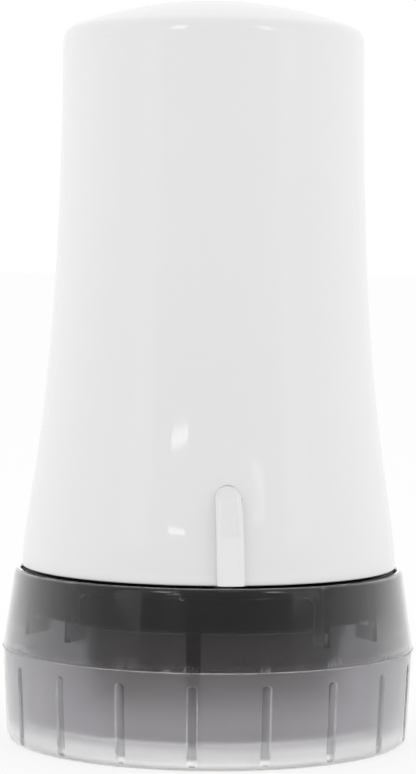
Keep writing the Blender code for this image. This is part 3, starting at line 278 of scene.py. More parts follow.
class LeverSizes(bpy.types.PropertyGroup):
    """Sizes of the release lever."""

    finger_width: length_property('Finger width', 'Width of the outside finger', 2.75 * MM)
    finger_foot: length_property(
        'Finger foot', "Height of the finger's flat lower end", 18.3 * MM)
    finger_height: length_property(
        'Finger height', 'Length of the finger from its foot to its round top', 9.75 * MM)
    finger_reach: length_property(
        'Finger reach', "Distance of the finger's face from the axis", 20.5942 * MM)
    finger_rounding: length_property(
        'Finger rounding', "Rounding of the finger's front edges", 0.6 * MM)
    finger_taper: number_property(
        'Finger taper', 'Share by which the finger narrows from its foot to its top', 0.085)
    finger_lean: turn_property('Finger lean', "Lean of the finger's top to the left", 1.4)


class DieSizes(bpy.types.PropertyGroup):
    """Sizes of the printing sleeve."""

    radius: length_property('Radius', 'Radius over the raised marks', 8.6 * MM)
    base_radius: length_property('Base radius', 'Radius of the rubber under the marks', 8.2 * MM)
    bore_radius: length_property('Bore radius', 'Radius of the bore that the drum fills', 6.8 * MM)
    width: length_property('Width', 'Width of the sleeve along its axle', 24.0 * MM)


class InkRollerSizes(bpy.types.PropertyGroup):
    """Sizes of the ink roller."""

    radius: length_property('Radius', 'Outer radius of the ink foam', 4.6 * MM)
    width: length_property(
        'Width', 'Width of the ink foam along its axle', INK_HIGH.x - INK_LOW.x)
    core_radius: length_property('Core radius', 'Radius of the core under the foam', 2.5 * MM)
    pore: length_property('Pore', "Depth of the foam's uneven skin", 0.05 * MM)


class ChassisSizes(bpy.types.PropertyGroup):
    """Sizes of the chassis ring."""

    skirt_radius: length_property(
        'Skirt radius', 'Outer radius of the skirt in the cap', 18.8942 * MM)
    skirt_wall: length_property('Skirt wall', 'Thickness of the skirt', 1.15 * MM)
    deck: length_property('Deck', 'Thickness of the deck', 1.5 * MM)
    opening_half_width: length_property(
        'Opening half width', "Half the width of the cartridge's way through", 14.6 * MM)
    opening_half_depth: length_property(
        'Opening half depth', "Half the depth of the cartridge's way through", 8.9 * MM)


class FinishColours(bpy.types.PropertyGroup):
    """Colours of the plastics, the metal, the rubber and the foam."""

    white: colour_property(
        'White plastic', 'Glossy white of the housing and the lever', (0.84, 0.84, 0.843))
    smoke: colour_property('Smoke plastic', 'Tint of the see-through cap', (0.30, 0.292, 0.308))
    black: colour_property(
        'Black plastic', 'Satin black of the chassis ring', (0.022, 0.022, 0.024))
    grey: colour_property(
        'Grey plastic', 'Satin grey of the cartridge and the drum', (0.11, 0.11, 0.115))
    steel: colour_property(
        'Steel', 'Bright steel of the axles, clips and springs', (0.62, 0.62, 0.63))
    rubber: colour_property(
        'Stamp rubber', 'Red-brown rubber of the printing sleeve', (0.10, 0.04, 0.034))
    foam: colour_property(
        'Ink foam', 'Foam of the ink roller, wet with black ink', (0.012, 0.012, 0.016))
    # This pale colour also paints highlights on the rims of the grip grooves and pads.
    flash: colour_property(
        'Flash', "Frosted flash along the cap's parting line", (0.75, 0.75, 0.76))


class StudioSettings(bpy.types.PropertyGroup):
    """Camera and light of the pale studio."""

    distance: length_property(
        'Camera distance', "Distance of the camera from the stamp's axis", 303.0 * MM)
    camera_height: length_property(
        'Camera height', 'Height of the camera over the ground', 51.1 * MM)
    azimuth: turn_property('Azimuth', 'Angle of the camera round the stamp from its front', -5.95)
    aim_height: length_property(
        'Aim height', 'Height on the axis that the camera looks at', 36.87 * MM)
    aim_side: length_property(
        'Aim to the side', 'How far right of the axis the camera looks', -0.26 * MM)
    roll: turn_property('Roll', 'Turn of the camera about its line of sight', 0.57)
    lens: number_property('Lens', 'Focal length for a 24 mm high image, in millimetres', 89.9)
    fill: number_property('Fill light', 'Strength of the white light from all sides', 1.14)
    rear_fill: number_property(
        'Rear fill', 'Share of the white light that comes from the far side', 0.7)
    opening_fill: number_property(
        'Fill at the opening', "Share of the fill light on the camera's side", 0.5)
    opening_gloss: number_property(
        'Reflection of the opening', "Brightness that gloss mirrors of the camera's side", 0.12)


# Hand tools


def clear_selection():
    """Leave edit mode and deselect everything."""
    if bpy.context.mode != 'OBJECT':
        bpy.ops.object.mode_set(mode='OBJECT')
    bpy.ops.object.select_all(action='DESELECT')


def pick(piece):
    """Make one piece the selected and active one."""
    clear_selection()
    piece.select_set(True)
    bpy.context.view_layer.objects.active = piece
    return piece


def named(name):
    """Give the active object and its mesh a name."""
    piece = bpy.context.object
    piece.name = name
    piece.data.name = name
    return piece


def edit(piece):
    """Open a piece in edit mode with nothing selected, and return its live mesh."""
    pick(piece)
    bpy.ops.object.mode_set(mode='EDIT')
    bpy.ops.mesh.select_all(action='DESELECT')
    return bmesh.from_edit_mesh(piece.data)


def select_where(mesh, kind, test):
    """Select the vertices, edges or faces that pass a test."""
    bpy.ops.mesh.select_all(action='DESELECT')
    bpy.ops.mesh.select_mode(type=kind)
    elements = {'VERT': mesh.verts, 'EDGE': mesh.edges, 'FACE': mesh.faces}[kind]
    for element in elements:
        if test(element):
            element.select_set(True)
    mesh.select_flush_mode()


def select_only(vertices):
    """Select some vertices of the open mesh, whose mode is that of vertices."""
    bpy.ops.mesh.select_all(action='DESELECT')
    for vertex in vertices:
        vertex.select_set(True)


def levels(mesh, axis=Z_AXIS):
    """The places along an axis at which a mesh has vertices, in order."""
    return sorted({round(vertex.co[axis], 7) for vertex in mesh.verts})


def slice_mesh(places, axis=Z_AXIS):
    """Bisect the whole open mesh at each place along an axis."""
    normal = Vector([float(index == axis) for index in range(3)])
    for place in places:
        bpy.ops.mesh.select_all(action='SELECT')
        bpy.ops.mesh.bisect(plane_co=normal * place, plane_no=normal)


def round_edges(piece, width, segments, test):
    """Round the edges of a piece that pass a test."""
    select_where(edit(piece), 'EDGE', test)
    bpy.ops.mesh.bevel(offset=width, segments=segments)
    bpy.ops.object.mode_set(mode='OBJECT')


def lifted(piece, step, test):
    """Move the vertices of a piece that pass a test up by a step."""
    select_where(edit(piece), 'VERT', test)
    bpy.ops.transform.translate(value=(0, 0, step))
    bpy.ops.object.mode_set(mode='OBJECT')
    return piece


def settle(piece):
    """Put a piece's place, turn and scale into its mesh."""
    pick(piece)
    bpy.ops.object.transform_apply(location=True, rotation=True, scale=True)
    return piece


def turned(piece, x=0.0, z=0.0):
    """Turn a piece about the X or the Z axis."""
    piece.rotation_euler = (x, 0, z)
    return settle(piece)


def moved(piece, place):
    """Move a piece by a place's distance from the origin."""
    piece.location = place
    return settle(piece)


def apply_modifier(piece, kind, **settings):
    """Add a modifier, set it and apply it."""
    pick(piece)
    modifier = piece.modifiers.new(kind.lower(), kind)
    for key, value in settings.items():
        setattr(modifier, key, value)
    bpy.ops.object.modifier_apply(modifier=modifier.name)


def carve(piece, tool, operation='DIFFERENCE'):
    """Cut a tool out of a piece, or join it on, and throw the tool away."""
    apply_modifier(piece, 'BOOLEAN', operation=operation, object=tool, solver='EXACT')
    bpy.data.meshes.remove(tool.data)
    return piece


def smooth(piece, angle=30.0):
    """Clean a piece's mesh, then shade it smooth up to an angle with even large faces."""
    edit(piece)
    bpy.ops.mesh.select_all(action='SELECT')
    bpy.ops.mesh.dissolve_degenerate(threshold=TINY / 4)
    bpy.ops.object.mode_set(mode='OBJECT')
    pick(piece)
    bpy.ops.object.shade_smooth_by_angle(angle=math.radians(angle), keep_sharp_edges=False)
    apply_modifier(piece, 'WEIGHTED_NORMAL', keep_sharp=True)


def soften(piece, width, segments=2):
    """Round the sharp edges of a plain tool a little."""
    apply_modifier(piece, 'BEVEL', width=width, segments=segments, limit_method='ANGLE',
                   angle_limit=math.radians(40))
    return piece


def turn_on_lathe(name, profile, sides):
    """Extrude one ring of vertices round a closed half section (radius, z), as on a lathe.

    A section that starts and ends on the axis gets a pole at each end.
    """
    clear_selection()
    poles = profile[0][0] < TINY
    ring = profile[1:-1] if poles else profile
    radius, height = ring[0]
    bpy.ops.mesh.primitive_circle_add(vertices=sides, radius=radius, location=(0, 0, height))
    piece = settle(named(name))
    edit(piece)
    bpy.ops.mesh.select_all(action='SELECT')
    bpy.ops.mesh.select_mode(type='EDGE')

    def step_to(next_radius, next_height):
        nonlocal radius, height
        bpy.ops.mesh.extrude_edges_move(
            TRANSFORM_OT_translate={'value': (0, 0, next_height - height)})
        factor = next_radius / radius
        bpy.ops.transform.resize(value=(factor, factor, 1), center_override=(0, 0, next_height))
        radius, height = next_radius, next_height

    for point in ring[1:]:
        step_to(*point)
    if poles:
        step_to(TINY, profile[-1][1])
        bpy.ops.mesh.merge(type='CENTER')
        mesh = bmesh.from_edit_mesh(piece.data)
        radius, height = ring[0]
        select_where(mesh, 'EDGE', lambda edge: edge.is_boundary)
        step_to(TINY, profile[0][1])
        bpy.ops.mesh.merge(type='CENTER')
    else:
        step_to(*ring[0])
    bpy.ops.mesh.select_all(action='SELECT')
    bpy.ops.mesh.remove_doubles(threshold=2 * TINY)
    bpy.ops.mesh.normals_make_consistent(inside=False)
    bpy.ops.object.mode_set(mode='OBJECT')
    return piece


def turn_along_x(name, corners, sides, height, y=0.0, steps=2):
    """Turn corners (radius, x, rounding) on a lathe and lay the piece along the X axis."""
    piece = turn_on_lathe(name, eased(corners, steps), sides)
    piece.rotation_euler = (0, math.pi / 2, 0)
    piece.location = (0, 0, height)
    settle(piece)
    return moved(piece, (0, y, 0)) if y else piece


def add_block(name, low, high):
    """A box between two corners."""
    clear_selection()
    size = [b - a for a, b in zip(low, high)]
    middle = [(a + b) / 2 for a, b in zip(low, high)]
    bpy.ops.mesh.primitive_cube_add(size=1, location=middle)
    bpy.context.object.scale = size
    return settle(named(name))


def add_soft_block(name, low, high, rounding, segments=2):
    """A box between two corners with rounded edges."""
    return soften(add_block(name, low, high), rounding, segments)


def add_rod(name, radius, depth, place, sides=32):
    """A round bar along the X axis with its middle at a place."""
    clear_selection()
    bpy.ops.mesh.primitive_cylinder_add(vertices=sides, radius=radius, depth=depth, location=place,
                                        rotation=(0, math.pi / 2, 0))
    return settle(named(name))


def joined(name, tools):
    """Join separate tools into one object."""
    clear_selection()
    for tool in tools:
        tool.select_set(True)
    bpy.context.view_layer.objects.active = tools[0]
    bpy.ops.object.join()
    return named(name)


def is_level(edge, axis):
    """Whether an edge's two ends are at one place along an axis."""
    first, second = edge.verts
    return abs(first.co[axis] - second.co[axis]) < TINY


def is_over(edge, height):
    """Whether all of an edge lies over a height."""
    return all(vertex.co.z > height for vertex in edge.verts)


def mirrored(right):
    """Profile corners of the right half, followed by their mirror image on the left."""
    return right + [(radius, -x, rounding) for radius, x, rounding in reversed(right)]


def eased(corners, steps=4):
    """Outline points from corners (u, v, rounding), each sharp or rounded by an arc."""
    points = []
    count = len(corners)
    for index, (u, v, rounding) in enumerate(corners):
        here = Vector((u, v))
        if rounding <= 0:
            points.append((u, v))
            continue
        before = Vector(corners[index - 1][:2]) - here
        after = Vector(corners[(index + 1) % count][:2]) - here
        before.normalize()
        after.normalize()
        half = before.angle(after) / 2
        setback = rounding / math.tan(half)
        first = here + before * setback
        last = here + after * setback
        centre = here + (before + after).normalized() * (rounding / math.sin(half))
        from_centre = first - centre
        sweep = from_centre.angle_signed(last - centre)
        for step in range(steps + 1):
            turn = Matrix.Rotation(-sweep * step / steps, 2)
            points.append(tuple(centre + turn @ from_centre))
    return points


# Finishes


def feed(tree, node, inputs):
    """Set a node's inputs to values, or link them to other nodes' outputs."""
    for key, value in inputs.items():
        if isinstance(value, bpy.types.NodeSocket):
            tree.links.new(value, node.inputs[key])
        else:
            node.inputs[key].default_value = value


def add_node(tree, kind, place=(0, 0), inputs=None, **settings):
    """Add a node at a place in the tree, set its properties and feed its inputs."""
    node = tree.nodes.new(kind)
    node.location = place
    for key, value in settings.items():
        setattr(node, key, value)
    feed(tree, node, inputs or {})
    return node


def calculate(tree, place, operation, *values, **settings):
    """Result of a Math node that works on values or other nodes' outputs."""
    node = add_node(tree, 'ShaderNodeMath', place, dict(enumerate(values)), operation=operation,
                    **settings)
    return node.outputs['Value']


def remap(tree, place, value, source=(0.0, 1.0), target=(0.0, 1.0), **settings):
    """Result of a Map Range node that takes the source range to the target range."""
    inputs = {'Value': value, 'From Min': source[0], 'From Max': source[1],
              'To Min': target[0], 'To Max': target[1]}
    return add_node(tree, 'ShaderNodeMapRange', place, inputs, **settings).outputs['Result']


def mixed(tree, place, factor, first, second, **settings):
    """Result of a Mix node between two values or two colours."""
    inputs = {'Factor': factor, 'A': first, 'B': second}
    return add_node(tree, 'ShaderNodeMix', place, inputs, **settings).outputs['Result']


def vector_math(tree, place, operation, *vectors, output='Vector', **inputs):
    """Result of a Vector Math node that works on vectors or other nodes' outputs."""
    node = add_node(tree, 'ShaderNodeVectorMath', place,
                    {**dict(enumerate(vectors)), **inputs}, operation=operation)
    return node.outputs[output]


def noise(tree, place, detail, **inputs):
    """Value of a noise pattern."""
    node = add_node(tree, 'ShaderNodeTexNoise', place, {'Detail': detail, **inputs})
    return node.outputs['Fac']


def effect_group(name, inputs, output, kind):
    """Start a shader node group with named inputs and one output."""
    tree = bpy.data.node_groups.new(name, 'ShaderNodeTree')
    tree.interface.new_socket('Vector', in_out='INPUT', socket_type='NodeSocketVector')
    for label, default in inputs.items():
        is_colour = isinstance(default, tuple)
        socket = tree.interface.new_socket(
            label, in_out='INPUT',
            socket_type='NodeSocketColor' if is_colour else 'NodeSocketFloat')
        socket.default_value = default
    tree.interface.new_socket(output, in_out='OUTPUT', socket_type=kind)
    entry = add_node(tree, 'NodeGroupInput', (-900, 0))
    leave = add_node(tree, 'NodeGroupOutput', (600, 0))
    return tree, entry.outputs, leave


def mould_grain_group():
    """Fine orange-peel height that moulded plastic keeps from its tool."""
    tree, given, leave = effect_group(
        'Mould grain', {'Scale': 900.0, 'Evenness': 0.5}, 'Height', 'NodeSocketFloat')
    vector, scale = given['Vector'], given['Scale']
    fine = noise(tree, (-500, 150), 3.0, Vector=vector, Scale=scale, Roughness=given['Evenness'])
    broad_scale = calculate(tree, (-700, -150), 'MULTIPLY', scale, 0.12)
    broad = noise(tree, (-500, -150), 2.0, Vector=vector, Scale=broad_scale)
    height = calculate(tree, (-200, 0), 'MULTIPLY_ADD', broad, 0.6, fine)
    feed(tree, leave, {'Height': height})


def handling_group():
    """Roughness with soft smudges and fine rubbed lines from handling."""
    tree, given, leave = effect_group(
        'Handling', {'Roughness': 0.3, 'Smudges': 0.05, 'Rubbing': 0.03, 'Scale': 60.0},
        'Roughness', 'NodeSocketFloat')
    vector, scale = given['Vector'], given['Scale']
    smudge = noise(tree, (-600, 200), 4.0, Vector=vector, Scale=scale)
    centred = calculate(tree, (-400, 200), 'SUBTRACT', smudge, 0.5)
    stretched = vector_math(tree, (-750, -150), 'MULTIPLY', vector, (9.0, 9.0, 0.6))
    lines = noise(tree, (-600, -150), 2.0, Vector=stretched, Scale=scale)
    ridge = remap(tree, (-400, -150), lines, (0.62, 0.72))
    smudged = calculate(tree, (-150, 150), 'MULTIPLY_ADD', centred, given['Smudges'],
                        given['Roughness'])
    rubbed = calculate(tree, (100, 50), 'MULTIPLY_ADD', ridge, given['Rubbing'], smudged,
                       use_clamp=True)
    feed(tree, leave, {'Roughness': rubbed})


def tone_group():
    """Colour that drifts a little, as moulded resin and rubber do."""
    tree, given, leave = effect_group(
        'Tone drift', {'Color': (0.5, 0.5, 0.5, 1.0), 'Amount': 0.03, 'Scale': 35.0},
        'Color', 'NodeSocketColor')
    drift = noise(tree, (-600, -100), 2.0, Vector=given['Vector'], Scale=given['Scale'])
    centred = calculate(tree, (-400, -100), 'SUBTRACT', drift, 0.5)
    gain = calculate(tree, (-200, -100), 'MULTIPLY_ADD', centred, given['Amount'], 1.0)
    tinted = vector_math(tree, (50, 0), 'SCALE', given['Color'], Scale=gain)
    feed(tree, leave, {'Color': tinted})


def new_finish(name):
    """A material's tree, with an output, a Principled shader and Object coordinates."""
    material = bpy.data.materials.new(name)
    material.use_nodes = True
    tree = material.node_tree
    tree.nodes.clear()
    shader = add_node(tree, 'ShaderNodeBsdfPrincipled', (350, 0))
    place = add_node(tree, 'ShaderNodeTexCoord', (-900, 0))
    add_node(tree, 'ShaderNodeOutputMaterial', (700, 0), {'Surface': shader.outputs['BSDF']})
    return tree, shader, place.outputs['Object']


def place_group(tree, name, place, vector, **inputs):
    """Place a shared effect in a material, with its own values, and return its output."""
    node = add_node(tree, 'ShaderNodeGroup', place, node_tree=bpy.data.node_groups[name])
    node.label = name
    feed(tree, node, {'Vector': vector, **inputs})
    return node.outputs[0]


def add_relief(tree, shader, height, distance):
    """Give a shader the small relief of a height pattern."""
    bump = add_node(tree, 'ShaderNodeBump', (50, -300), {'Height': height, 'Distance': distance})
    feed(tree, shader, {'Normal': bump.outputs['Normal']})


def plastic_finish(name, colour, roughness, grain_scale, grain_height, smudges=0.05,
                   rubbing=0.02, drift=0.03, drift_scale=35.0, clear=0.0):
    """Moulded plastic: drifting tone, handled gloss and a fine mould grain."""
    tree, shader, vector = new_finish(name)
    tone = place_group(tree, 'Tone drift', (-500, 250), vector, Color=(*colour, 1.0),
                       Amount=drift, Scale=drift_scale)
    gloss = place_group(tree, 'Handling', (-500, 0), vector, Roughness=roughness,
                        Smudges=smudges, Rubbing=rubbing)
    feed(tree, shader, {'Base Color': tone, 'Roughness': gloss, 'Transmission Weight': clear})
    grain = place_group(tree, 'Mould grain', (-500, -300), vector, Scale=grain_scale)
    add_relief(tree, shader, grain, grain_height)


def height_ramp(tree, place, share, cap, stops, colour):
    """Colour up the cap's height: each stop is a height and the colour's gain there."""
    ramp = add_node(tree, 'ShaderNodeValToRGB', place, {'Fac': share})
    stripes = ramp.color_ramp.elements
    for index, (z, gain) in enumerate(stops):
        stripe = stripes[index] if index < len(stripes) else stripes.new(z / cap.height)
        stripe.position = z / cap.height
        stripe.color = (*[min(BRIGHTEST_TINT, gain * part) for part in colour], 1.0)
    return ramp.outputs['Color']


def step_at_parting(cap, gains):
    """Ramp stops that change the gain at once at the cap's parting line."""
    below, above = gains
    return [(cap.parting_height - PARTING_EDGE, below), (cap.parting_height + PARTING_EDGE, above)]


def distance_from_axis(tree, place):
    """Distance of a separated place from the Z axis."""
    flat = add_node(tree, 'ShaderNodeCombineXYZ', (-1700, 200),
                    {'X': place.outputs['X'], 'Y': place.outputs['Y']})
    return vector_math(tree, (-1500, 200), 'LENGTH', flat.outputs['Vector'], output='Value')


def groove_mask(tree, cap, height, radius):
    """One on the floors of the cap's grip grooves."""
    wall = remap(tree, (-1500, -750), height, (0.0, cap.parting_height),
                 (cap.base_radius, cap.radius - PARTING_STEP))
    depth = calculate(tree, (-1250, -750), 'SUBTRACT', wall, radius)
    within = calculate(tree, (-1050, -750), 'COMPARE', depth, GROOVE_FLOOR_DEPTH,
                       GROOVE_FLOOR_BAND)
    over_foot = remap(tree, (-1250, -950), height, GROOVE_FOOT_HEIGHTS)
    under_top = calculate(tree, (-1250, -1150), 'LESS_THAN', height,
                          cap.parting_height - GROOVE_SHADE_GAP)
    grip = calculate(tree, (-1050, -1050), 'MULTIPLY', over_foot, under_top)
    return calculate(tree, (-850, -750), 'MULTIPLY', within, grip)


def smoke_finish(name, colour, cap):
    """Smoke plastic: darker over the parting line and where it is thick, misted and pale below it,
    with a paler tint and a painted glow toward the foot and a painted glow on the inner wall as
    painted light from below, and painted shade in the grooves.
    """
    tree, shader, vector = new_finish(name)
    place = add_node(tree, 'ShaderNodeSeparateXYZ', (-1900, 450), {'Vector': vector})
    height = place.outputs['Z']
    radius = distance_from_axis(tree, place)
    share = calculate(tree, (-1500, 650), 'DIVIDE', height, cap.height)

    bore = remap(tree, (-1500, 0), height, (CAP_FLOOR, cap.height),
                 (cap.bore_radius - CORE_DRAFT, cap.bore_radius))
    inside = calculate(tree, (-1250, 100), 'SUBTRACT', bore, radius)
    proud = remap(tree, (-1050, 100), inside, RIB_DEPTHS)
    over_floor = remap(tree, (-1050, -150), height, RIB_SHADE_HEIGHTS)
    ribs = calculate(tree, (-850, 0), 'MULTIPLY', proud, over_floor)
    grooves = groove_mask(tree, cap, height, radius)

    # The tint lightens toward the foot, as painted light from below.
    stops = [*TINT_AND_PAINTED_LIGHT_BELOW, *step_at_parting(cap, TINT_AT_PARTING), TINT_ABOVE,
             (cap.height, TINT_AT_RIM)]
    tint = height_ramp(tree, (-1100, 650), share, cap, stops, colour)
    rib_tint = (*[RIB_TINT * part for part in colour], 1.0)
    groove_painted_shade = (*[GROOVE_PAINTED_SHADE * part for part in colour], 1.0)
    dark = mixed(tree, (-600, 450), ribs, tint, rib_tint, data_type='RGBA')
    # Painted shade darkens the floors of the grip grooves.
    shaded = mixed(tree, (-500, 650), grooves, dark, groove_painted_shade, data_type='RGBA')
    tone = place_group(tree, 'Tone drift', (-150, 350), vector, Color=shaded, Amount=0.05)

    mist = remap(tree, (-850, -700), height,
                 (cap.parting_height + PARTING_EDGE, cap.parting_height - PARTING_EDGE),
                 (CLEAR_ROUGHNESS, MIST_ROUGHNESS))
    polish = remap(tree, (-850, -1100), grooves, target=(1.0, GROOVE_MIST))
    haze = calculate(tree, (-500, -800), 'MULTIPLY', mist, polish)
    gloss = place_group(tree, 'Handling', (-300, -100), vector, Roughness=haze, Smudges=0.04,
                        Rubbing=0.02)

    # Painted glow: emission near the foot and on the inner wall over the parting line, standing in
    # for light from below.
    painted_glow_stops = [*PAINTED_GLOW_BELOW, *step_at_parting(cap, PAINTED_GLOW_AT_PARTING), *PAINTED_GLOW_ABOVE]
    painted_glow_ramp = height_ramp(tree, (-150, -550), share, cap, painted_glow_stops, [PAINTED_GLOW_LEVEL] * 3)
    inner_wall = remap(tree, (-1050, -400), inside, INNER_WALL_DEPTHS)
    bare = calculate(tree, (-650, -450), 'SUBTRACT', inner_wall, ribs, use_clamp=True)
    foot = calculate(tree, (-650, -600), 'LESS_THAN', height, PAINTED_GLOW_FOOT)
    lit = calculate(tree, (-450, -500), 'MAXIMUM', bare, foot)
    glow = vector_math(tree, (100, -550), 'SCALE', painted_glow_ramp, Scale=lit)

    feed(tree, shader, {
        'IOR': 1.49, 'Transmission Weight': 1.0, 'Coat Weight': 1.0, 'Coat Roughness': 0.04,
        'Coat IOR': 1.49, 'Base Color': tone, 'Roughness': gloss, 'Emission Color': glow,
        'Emission Strength': 1.0})
    grain = place_group(tree, 'Mould grain', (-300, -350), vector, Scale=700.0)
    add_relief(tree, shader, grain, 0.003 * MM)


def steel_finish(name, colour):
    """Drawn steel with fine rings round the axles."""
    tree, shader, vector = new_finish(name)
    rings = add_node(tree, 'ShaderNodeMapping', (-700, 0),
                     {'Scale': (12.0, 1.0, 1.0), 'Vector': vector}).outputs['Vector']
    tone = place_group(tree, 'Tone drift', (-450, 250), vector, Color=(*colour, 1.0), Amount=0.1,
                       Scale=300.0)
    gloss = place_group(tree, 'Handling', (-450, 0), rings, Roughness=0.24, Smudges=0.12,
                        Rubbing=0.1, Scale=500.0)
    feed(tree, shader, {'Metallic': 1.0, 'Base Color': tone, 'Roughness': gloss})
    grain = place_group(tree, 'Mould grain', (-450, -300), rings, Scale=600.0)
    add_relief(tree, shader, grain, 0.003 * MM)


def rubber_finish(name, colour, die):
    """Matte stamp rubber whose raised faces are dark with ink."""
    tree, shader, vector = new_finish(name)
    level = vector_math(tree, (-700, 350), 'SUBTRACT', vector, (0.0, 0.0, STAMP_HEIGHT))
    flat = vector_math(tree, (-500, 350), 'MULTIPLY', level, (0.0, 1.0, 1.0))
    radius = vector_math(tree, (-300, 350), 'LENGTH', flat, output='Value')
    inked = remap(tree, (-100, 350), radius, (die.radius - 0.12 * MM, die.radius - 0.04 * MM))
    tone = place_group(tree, 'Tone drift', (-300, 150), vector, Color=(*colour, 1.0), Amount=0.2,
                       Scale=250.0)
    feed(tree, shader, {
        'Base Color': mixed(tree, (100, 250), inked, tone, INK_BLACK, data_type='RGBA'),
        'Roughness': remap(tree, (100, 0), inked, target=(0.72, 0.38))})
    grain = place_group(tree, 'Mould grain', (-300, -300), vector, Scale=1400.0)
    add_relief(tree, shader, grain, 0.02 * MM)


def foam_finish(name, colour):
    """Open-cell foam, wet with ink."""
    tree, shader, vector = new_finish(name)
    cells = add_node(tree, 'ShaderNodeTexVoronoi', (-600, -200),
                     {'Scale': 1600.0, 'Vector': vector}).outputs['Distance']
    tone = place_group(tree, 'Tone drift', (-300, 150), vector, Color=(*colour, 1.0), Amount=0.5,
                       Scale=500.0)
    feed(tree, shader, {
        'Base Color': tone, 'Roughness': remap(tree, (-300, -50), cells, target=(0.75, 0.35))})
    add_relief(tree, shader, cells, 0.12 * MM)


def wear(piece, name):
    """Give a piece one finish."""
    piece.data.materials.clear()
    piece.data.materials.append(bpy.data.materials[name])


def finished(piece, node, body, slot, angle=35.0):
    """Shade a piece, give it its slot's finish and put it in its node's place."""
    smooth(piece, angle)
    wear(piece, SLOT_FINISHES[slot])
    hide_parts(node)
    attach(piece, body)


# Housing and lever


def housing_side(housing, share):
    """Point (radius, z) on the housing's outer side, from its foot (0) to its corner (1)."""
    rest = 1 - share
    height = housing.corner_height - housing.foot_height
    radius = housing.foot_radius - housing.flare * (1 - rest ** 2 * (1 + 2 * share))
    rise = (3 * rest ** 2 * share * LOWER_HANDLE * height
            + 3 * rest * share ** 2 * (1 - UPPER_HANDLE) * height + share ** 3 * height)
    return radius, housing.foot_height + rise


def housing_radius(housing, z):
    """Outer radius of the housing's side at a height, found by halving."""
    low, high = 0.0, 1.0
    for _ in range(40):
        middle = (low + high) / 2
        if housing_side(housing, middle)[1] < z:
            low = middle
        else:
            high = middle
    return housing_side(housing, high)[0]


def housing_bore(housing, z):
    """Inner radius of the housing's side at a height."""
    return housing_radius(housing, z) - housing.wall


def crown_points(radius, corner_z, rise, steps):
    """Points of a shallow crown from its apex out to just inside its corner."""
    curve = (radius ** 2 + rise ** 2) / (2 * rise)
    reach = math.asin(radius / curve)
    points = []
    for step in range(steps):
        angle = reach * step / steps
        points.append((curve * math.sin(angle), corner_z + rise - curve * (1 - math.cos(angle)), 0))
    return points


def housing_section(housing):
    """Half section of the housing, from its outer apex round its foot to its inner apex."""
    top_radius = housing.foot_radius - housing.flare
    corners = crown_points(top_radius, housing.corner_height, housing.crown_rise, 22)[:-3]
    corners.append((top_radius, housing.corner_height, 1.8 * MM))
    corners += [(*housing_side(housing, 1 - step / 36), 0) for step in range(1, 36)]
    corners.append((housing.foot_radius, housing.foot_height, 0.2 * MM))
    corners.append((housing.foot_radius - housing.wall, housing.foot_height, 0.15 * MM))
    groove = ((-1, 0), (-0.5, SNAP_SHOULDER), (0, SNAP_DEPTH), (0.5, SNAP_SHOULDER), (1, 0))
    for share, depth in groove:
        z = SNAP_HEIGHT + share * SNAP_HALF
        corners.append((housing_bore(housing, z) + depth, z, 0))
    groove_top = SNAP_HEIGHT + SNAP_HALF
    core_corner = housing.corner_height - housing.wall
    for step in range(1, 16):
        z = groove_top + (core_corner - groove_top) * step / 16
        corners.append((housing_bore(housing, z), z, 0))
    core_radius = housing_bore(housing, core_corner)
    corners.append((core_radius, core_corner, 1.0 * MM))
    corners += reversed(crown_points(core_radius, core_corner, housing.crown_rise, 10))
    return eased(corners, 6)


def add_tongue(name, half_width, back, face, foot, top):
    """A flat bar that stands in the XZ plane with a round top, from its face to its back."""
    bar = add_block(name, (-half_width, face, foot), (half_width, back, top))
    round_edges(bar, half_width * FULL_ROUND, 14,
                lambda edge: is_over(edge, top - TINY) and is_level(edge, X_AXIS))
    return bar


def narrow_upward(piece, sizes):
    """Taper a bar as the lever's finger tapers, and lean it as the finger leans."""
    mesh = edit(piece)
    for height in levels(mesh):
        select_where(mesh, 'VERT', lambda v: abs(v.co.z - height) < TINY)
        share = (height - sizes.finger_foot) / sizes.finger_height
        bpy.ops.transform.resize(value=(FINGER_FOOT_WIDTH - sizes.finger_taper * share, 1, 1),
                                 center_override=(0, 0, height))
        above_middle = (share - FINGER_MIDDLE) * sizes.finger_height
        bpy.ops.transform.translate(value=(-above_middle * math.tan(sizes.finger_lean), 0, 0))
    bpy.ops.object.mode_set(mode='OBJECT')


class STAMP_OT_housing(bpy.types.Operator):
    """Model the bell-shaped housing with its crown, the lever's slot and the locating ribs"""

    bl_idname = 'stamp.housing'
    bl_label = 'Housing'

    def execute(self, context):
        sizes = context.scene.stamp_housing
        finger = context.scene.stamp_lever
        housing = turn_on_lathe('housing', housing_section(sizes), 216)
        for side in (-1, 1):
            carve(housing, self.locating_rib(side), 'UNION')
        carve(housing, self.slot(sizes, finger))
        finished(housing, 'housing_shell', 'handle', 'white_plastic', 32.0)
        return {'FINISHED'}

    def locating_rib(self, side):
        """Rib in the bore that a notch of the chassis spigot takes."""
        face, root, half = 17.0442 * MM, 18.4 * MM, 0.7 * MM
        foot, top = 18.5 * MM, 23.2 * MM
        low, high = sorted((side * face, side * root))
        return add_soft_block('locating_rib', (low, -half, foot), (high, half, top), 0.15 * MM)

    def slot(self, sizes, finger):
        """Tool for the slot that the lever's finger fills."""
        back, face, foot = -15.0 * MM, -21.0 * MM, 17.0 * MM
        half = finger.finger_width / 2 + sizes.slot_gap
        top = finger.finger_foot + finger.finger_height + sizes.slot_gap
        slot = add_tongue('slot_tool', half, back, face, foot, top)
        narrow_upward(slot, finger)
        return slot


